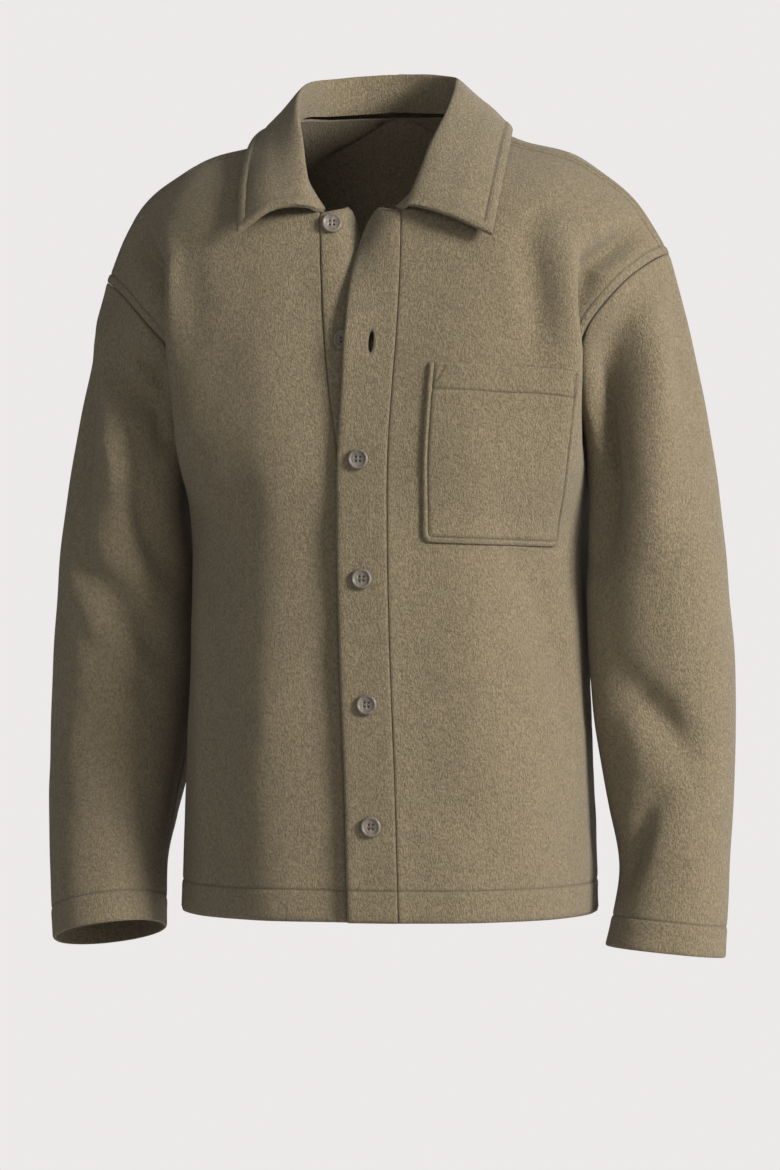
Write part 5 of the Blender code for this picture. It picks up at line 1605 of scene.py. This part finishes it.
class ShacketSizes(bpy.types.PropertyGroup):
    cloth: length_setting("Cloth", "Thickness of a single layer of the wool", 0.0025, 0.001)
    hem: length_setting("Hem", "Height of the stitching above the bottom edge and the cuffs", 0.026, 0.012)
    topstitch: length_setting(
        "Seam topstitch", "Distance of the topstitching from the armhole and shoulder seams", 0.008, 0.005)
    collar_topstitch: length_setting(
        "Collar topstitch", "Distance of the topstitching from the collar's edge", 0.0085, 0.005)
    pocket_border: length_setting(
        "Pocket border", "Distance of the stitching from the pocket's sides and bottom", 0.0046, 0.003)
    pocket_facing: length_setting(
        "Pocket facing", "Depth of the turned facing at the pocket's top", 0.0215, 0.008)
    pocket_corner: length_setting("Pocket corner", "Radius of the pocket's lower corners", 0.007, 0.001)
    stitch: length_setting("Stitch", "Length of one stitch", 0.0031, 0.001)
    thread: length_setting("Thread", "Thickness of the sewing thread", 0.00055, 0.0002, 5)
    button: length_setting("Button", "Width of each button", 0.017, 0.010)


class ShacketColours(bpy.types.PropertyGroup):
    wool: colour_setting("Wool", "Main colour of the cloth", (0.174, 0.1415, 0.089))
    fleck: colour_setting("Flecks", "Colour of the paler hairs in the nap", (0.310, 0.265, 0.180))
    thread: colour_setting("Thread", "Colour of the sewing thread", (0.090, 0.072, 0.048))
    button: colour_setting("Buttons", "Main colour of the buttons", (0.115, 0.098, 0.078))
    floor: colour_setting("Floor", "Colour of the plain floor", (0.527, 0.521, 0.515))


def sizes_of(context):
    chosen = context.scene.shacket_sizes
    return Sizes(*(round(getattr(chosen, name), 6) for name in Sizes._fields))


class SewingOperator:
    """What the operators share: their settings, the cut pieces, the finishes and the sewing."""

    bl_options = {"REGISTER", "UNDO"}

    def prepare(self, context):
        self.sizes = sizes_of(context)
        self.pieces = cut_pieces(self.sizes)
        self.colours = context.scene.shacket_colours
        self.wool = shared_finish("napped_wool", wool_finish, self.colours)
        self.thread = shared_finish("sewing_thread", thread_finish, self.colours)

    def stitch(self, name, panel, node, mirror=False):
        """Makes the stitching along a panel's lines and round its buttonholes."""
        stitches = [one for line in panel.lines for one in stitches_along(line, self.sizes)]
        stitches += [one for hole in panel.holes for one in round_hole(hole)]
        stitching("stitching_" + name, stitches, self.sizes, self.thread, mirror)

    def sew(self, name, panel, node, thickness, mirror=False, closed=False):
        """Makes a panel's cloth and its stitching."""
        cloth = cloth_piece("cloth_" + name, panel, thickness, self.wool, node, mirror, closed)
        self.stitch(name, panel, node, mirror)
        return cloth


class SewFronts(bpy.types.Operator, SewingOperator):
    """Makes both fronts, each with its hem and armhole stitching"""

    bl_idname = "shacket.fronts"
    bl_label = "Fronts"

    def execute(self, context):
        self.prepare(context)
        for side, area in (("left", 0.152), ("right", 0.148)):
            name = "front_" + side
            front = self.sew(name, self.pieces[name], name, self.sizes.cloth, side == "right")
        return {"FINISHED"}


class SewBack(bpy.types.Operator, SewingOperator):
    """Makes the back in one piece, with its hem, shoulder and armhole stitching"""

    bl_idname = "shacket.back"
    bl_label = "Back"

    def execute(self, context):
        self.prepare(context)
        back = cloth_piece("cloth_back", whole_back(self.pieces), self.sizes.cloth, self.wool, "back")
        for side in SIDES:
            self.stitch("back_" + side, self.pieces["back_" + side], "back", side == "right")
        return {"FINISHED"}


class SewSleeves(bpy.types.Operator, SewingOperator):
    """Makes both sleeves, each with its cuff stitching"""

    bl_idname = "shacket.sleeves"
    bl_label = "Sleeves"

    def execute(self, context):
        self.prepare(context)
        for side in SIDES:
            name = "sleeve_" + side
            sleeve = self.sew(name, self.pieces[name], name, self.sizes.cloth, side == "right", closed=True)
        return {"FINISHED"}


class SewCollar(bpy.types.Operator, SewingOperator):
    """Makes the collar with its edge stitching"""

    bl_idname = "shacket.collar"
    bl_label = "Collar"

    def execute(self, context):
        self.prepare(context)
        collar = self.sew("collar", self.pieces["collar"], "collar", COLLAR_PLY)
        return {"FINISHED"}


class SewBands(bpy.types.Operator, SewingOperator):
    """Makes both button bands, with the hem stitching and the edged buttonholes"""

    bl_idname = "shacket.bands"
    bl_label = "Button bands"

    def execute(self, context):
        self.prepare(context)
        for side in SIDES:
            name = "band_" + side
            band = self.sew(name, self.pieces[name], "placket_" + side, PLACKET_PLY, side == "right")
        return {"FINISHED"}


class SewPocket(bpy.types.Operator, SewingOperator):
    """Makes the chest pocket with its border and facing stitching and the tacks at its corners"""

    bl_idname = "shacket.pocket"
    bl_label = "Pocket"

    def execute(self, context):
        self.prepare(context)
        pocket = self.sew("pocket", self.pieces["pocket"], "pocket", POCKET_PLY)
        return {"FINISHED"}


class SewButtons(bpy.types.Operator, SewingOperator):
    """Makes the six four-hole buttons, each sewn on with two bars of thread"""

    bl_idname = "shacket.buttons"
    bl_label = "Buttons"

    def execute(self, context):
        self.prepare(context)
        finish = shared_finish("moulded_button", button_finish, self.colours)
        points, faces = button_mesh(self.sizes)
        reach, top = BUTTON_HOLE["from_middle"], BUTTON_PROFILE[-1][1] * BUTTON_THICKNESS
        seams = {side: self.pieces["front_" + side].band_seam() for side in SIDES}
        for n, (centre, normal) in enumerate(button_seats(seams)):
            node = "button_%d" % (n + 1)
            new_piece("sewn_" + node, seated(points, centre, normal), faces, finish, (node,))
            threads = []
            for x in (-reach, reach):
                start, end = seated(np.array([(x, -reach, top), (x, reach, top)]), centre, normal)
                threads.append(stitch_between(start, end, normal))
            stitching("thread_" + node, threads, self.sizes, self.thread)
        return {"FINISHED"}


def make_floor(scene):
    work = bmesh.new()
    bmesh.ops.create_circle(work, cap_ends=True, segments=96, radius=FLOOR_RADIUS)
    mesh = bpy.data.meshes.new("floor")
    work.to_mesh(mesh)
    work.free()
    mesh.materials.append(shared_finish("pale_floor", floor_finish, scene.shacket_colours))
    floor = bpy.data.objects.new("floor", mesh)
    floor.location = (0.0, 0.0, FLOOR_Z)
    scene.collection.objects.link(floor)


def surround(scene):
    """A plain background, with a dimmer light of its own from every side."""
    world = bpy.data.worlds.new("studio")
    world.use_nodes = True
    tree = world.node_tree
    seen = tree.nodes.new("ShaderNodeLightPath")
    colour = tree.nodes.new("ShaderNodeMix")
    colour.data_type = "RGBA"
    colour.inputs[6].default_value = (*AMBIENT, 1.0)
    colour.inputs[7].default_value = (*BACKGROUND, 1.0)
    tree.links.new(seen.outputs["Is Camera Ray"], colour.inputs[0])
    tree.links.new(colour.outputs[2], tree.nodes["Background"].inputs["Color"])
    scene.world = world
    scene.view_settings.view_transform = "Standard"


def place_lamp(scene, light):
    lamp = bpy.data.lights.new(light["name"], "AREA")
    lamp.shape = "DISK"
    lamp.size = light["size"]
    lamp.energy = light["power"]
    lamp.color = light["colour"]
    placed = bpy.data.objects.new(light["name"], lamp)
    placed.location = light["place"]
    placed.rotation_euler = (Vector(LIGHT_AIM) - placed.location).to_track_quat("-Z", "Y").to_euler()
    scene.collection.objects.link(placed)


def place_camera(scene):
    """A level camera, turned a little towards the wearer's left."""
    camera = bpy.data.objects.new("camera", bpy.data.cameras.new("camera"))
    camera.data.lens = CAMERA["lens"]
    camera.data.sensor_width = CAMERA["sensor"]
    camera.data.clip_start = 0.05
    turn = math.radians(CAMERA["azimuth"])
    back = Vector((math.sin(turn), -math.cos(turn), 0.0))
    camera.location = Vector(CAMERA["target"]) + back * CAMERA["distance"]
    camera.rotation_euler = (-back).to_track_quat("-Z", "Y").to_euler()
    scene.collection.objects.link(camera)
    scene.camera = camera


class BuildStudio(bpy.types.Operator):
    """Makes the plain pale floor, the soft lights and the camera"""

    bl_idname = "shacket.studio"
    bl_label = "Studio"
    bl_options = {"REGISTER", "UNDO"}

    def execute(self, context):
        make_floor(context.scene)
        surround(context.scene)
        for light in LIGHTS:
            place_lamp(context.scene, light)
        place_camera(context.scene)
        return {"FINISHED"}


STEPS = (SewFronts, SewBack, SewSleeves, SewCollar, SewBands, SewPocket, SewButtons, BuildStudio)


class ShacketPanel(bpy.types.Panel):
    """Lists the sizes, colours and pieces of the shacket"""

    bl_idname = "VIEW3D_PT_shacket"
    bl_label = "Shacket"
    bl_space_type = "VIEW_3D"
    bl_region_type = "UI"
    bl_category = "Shacket"

    def draw(self, context):
        for group in (context.scene.shacket_sizes, context.scene.shacket_colours):
            box = self.layout.box()
            for name in group.__annotations__:
                box.prop(group, name)
        for step in STEPS:
            self.layout.operator(step.bl_idname)


CLASSES = (ShacketSizes, ShacketColours) + STEPS + (ShacketPanel,)


def register():
    for one in CLASSES:
        bpy.utils.register_class(one)
    bpy.types.Scene.shacket_sizes = bpy.props.PointerProperty(type=ShacketSizes)
    bpy.types.Scene.shacket_colours = bpy.props.PointerProperty(type=ShacketColours)


def unregister():
    del bpy.types.Scene.shacket_sizes
    del bpy.types.Scene.shacket_colours
    for one in reversed(CLASSES):
        bpy.utils.unregister_class(one)


def main():
    register()
    for step in STEPS:
        group, name = step.bl_idname.split(".")
        getattr(getattr(bpy.ops, group), name)()


if __name__ == "__main__":
    main()
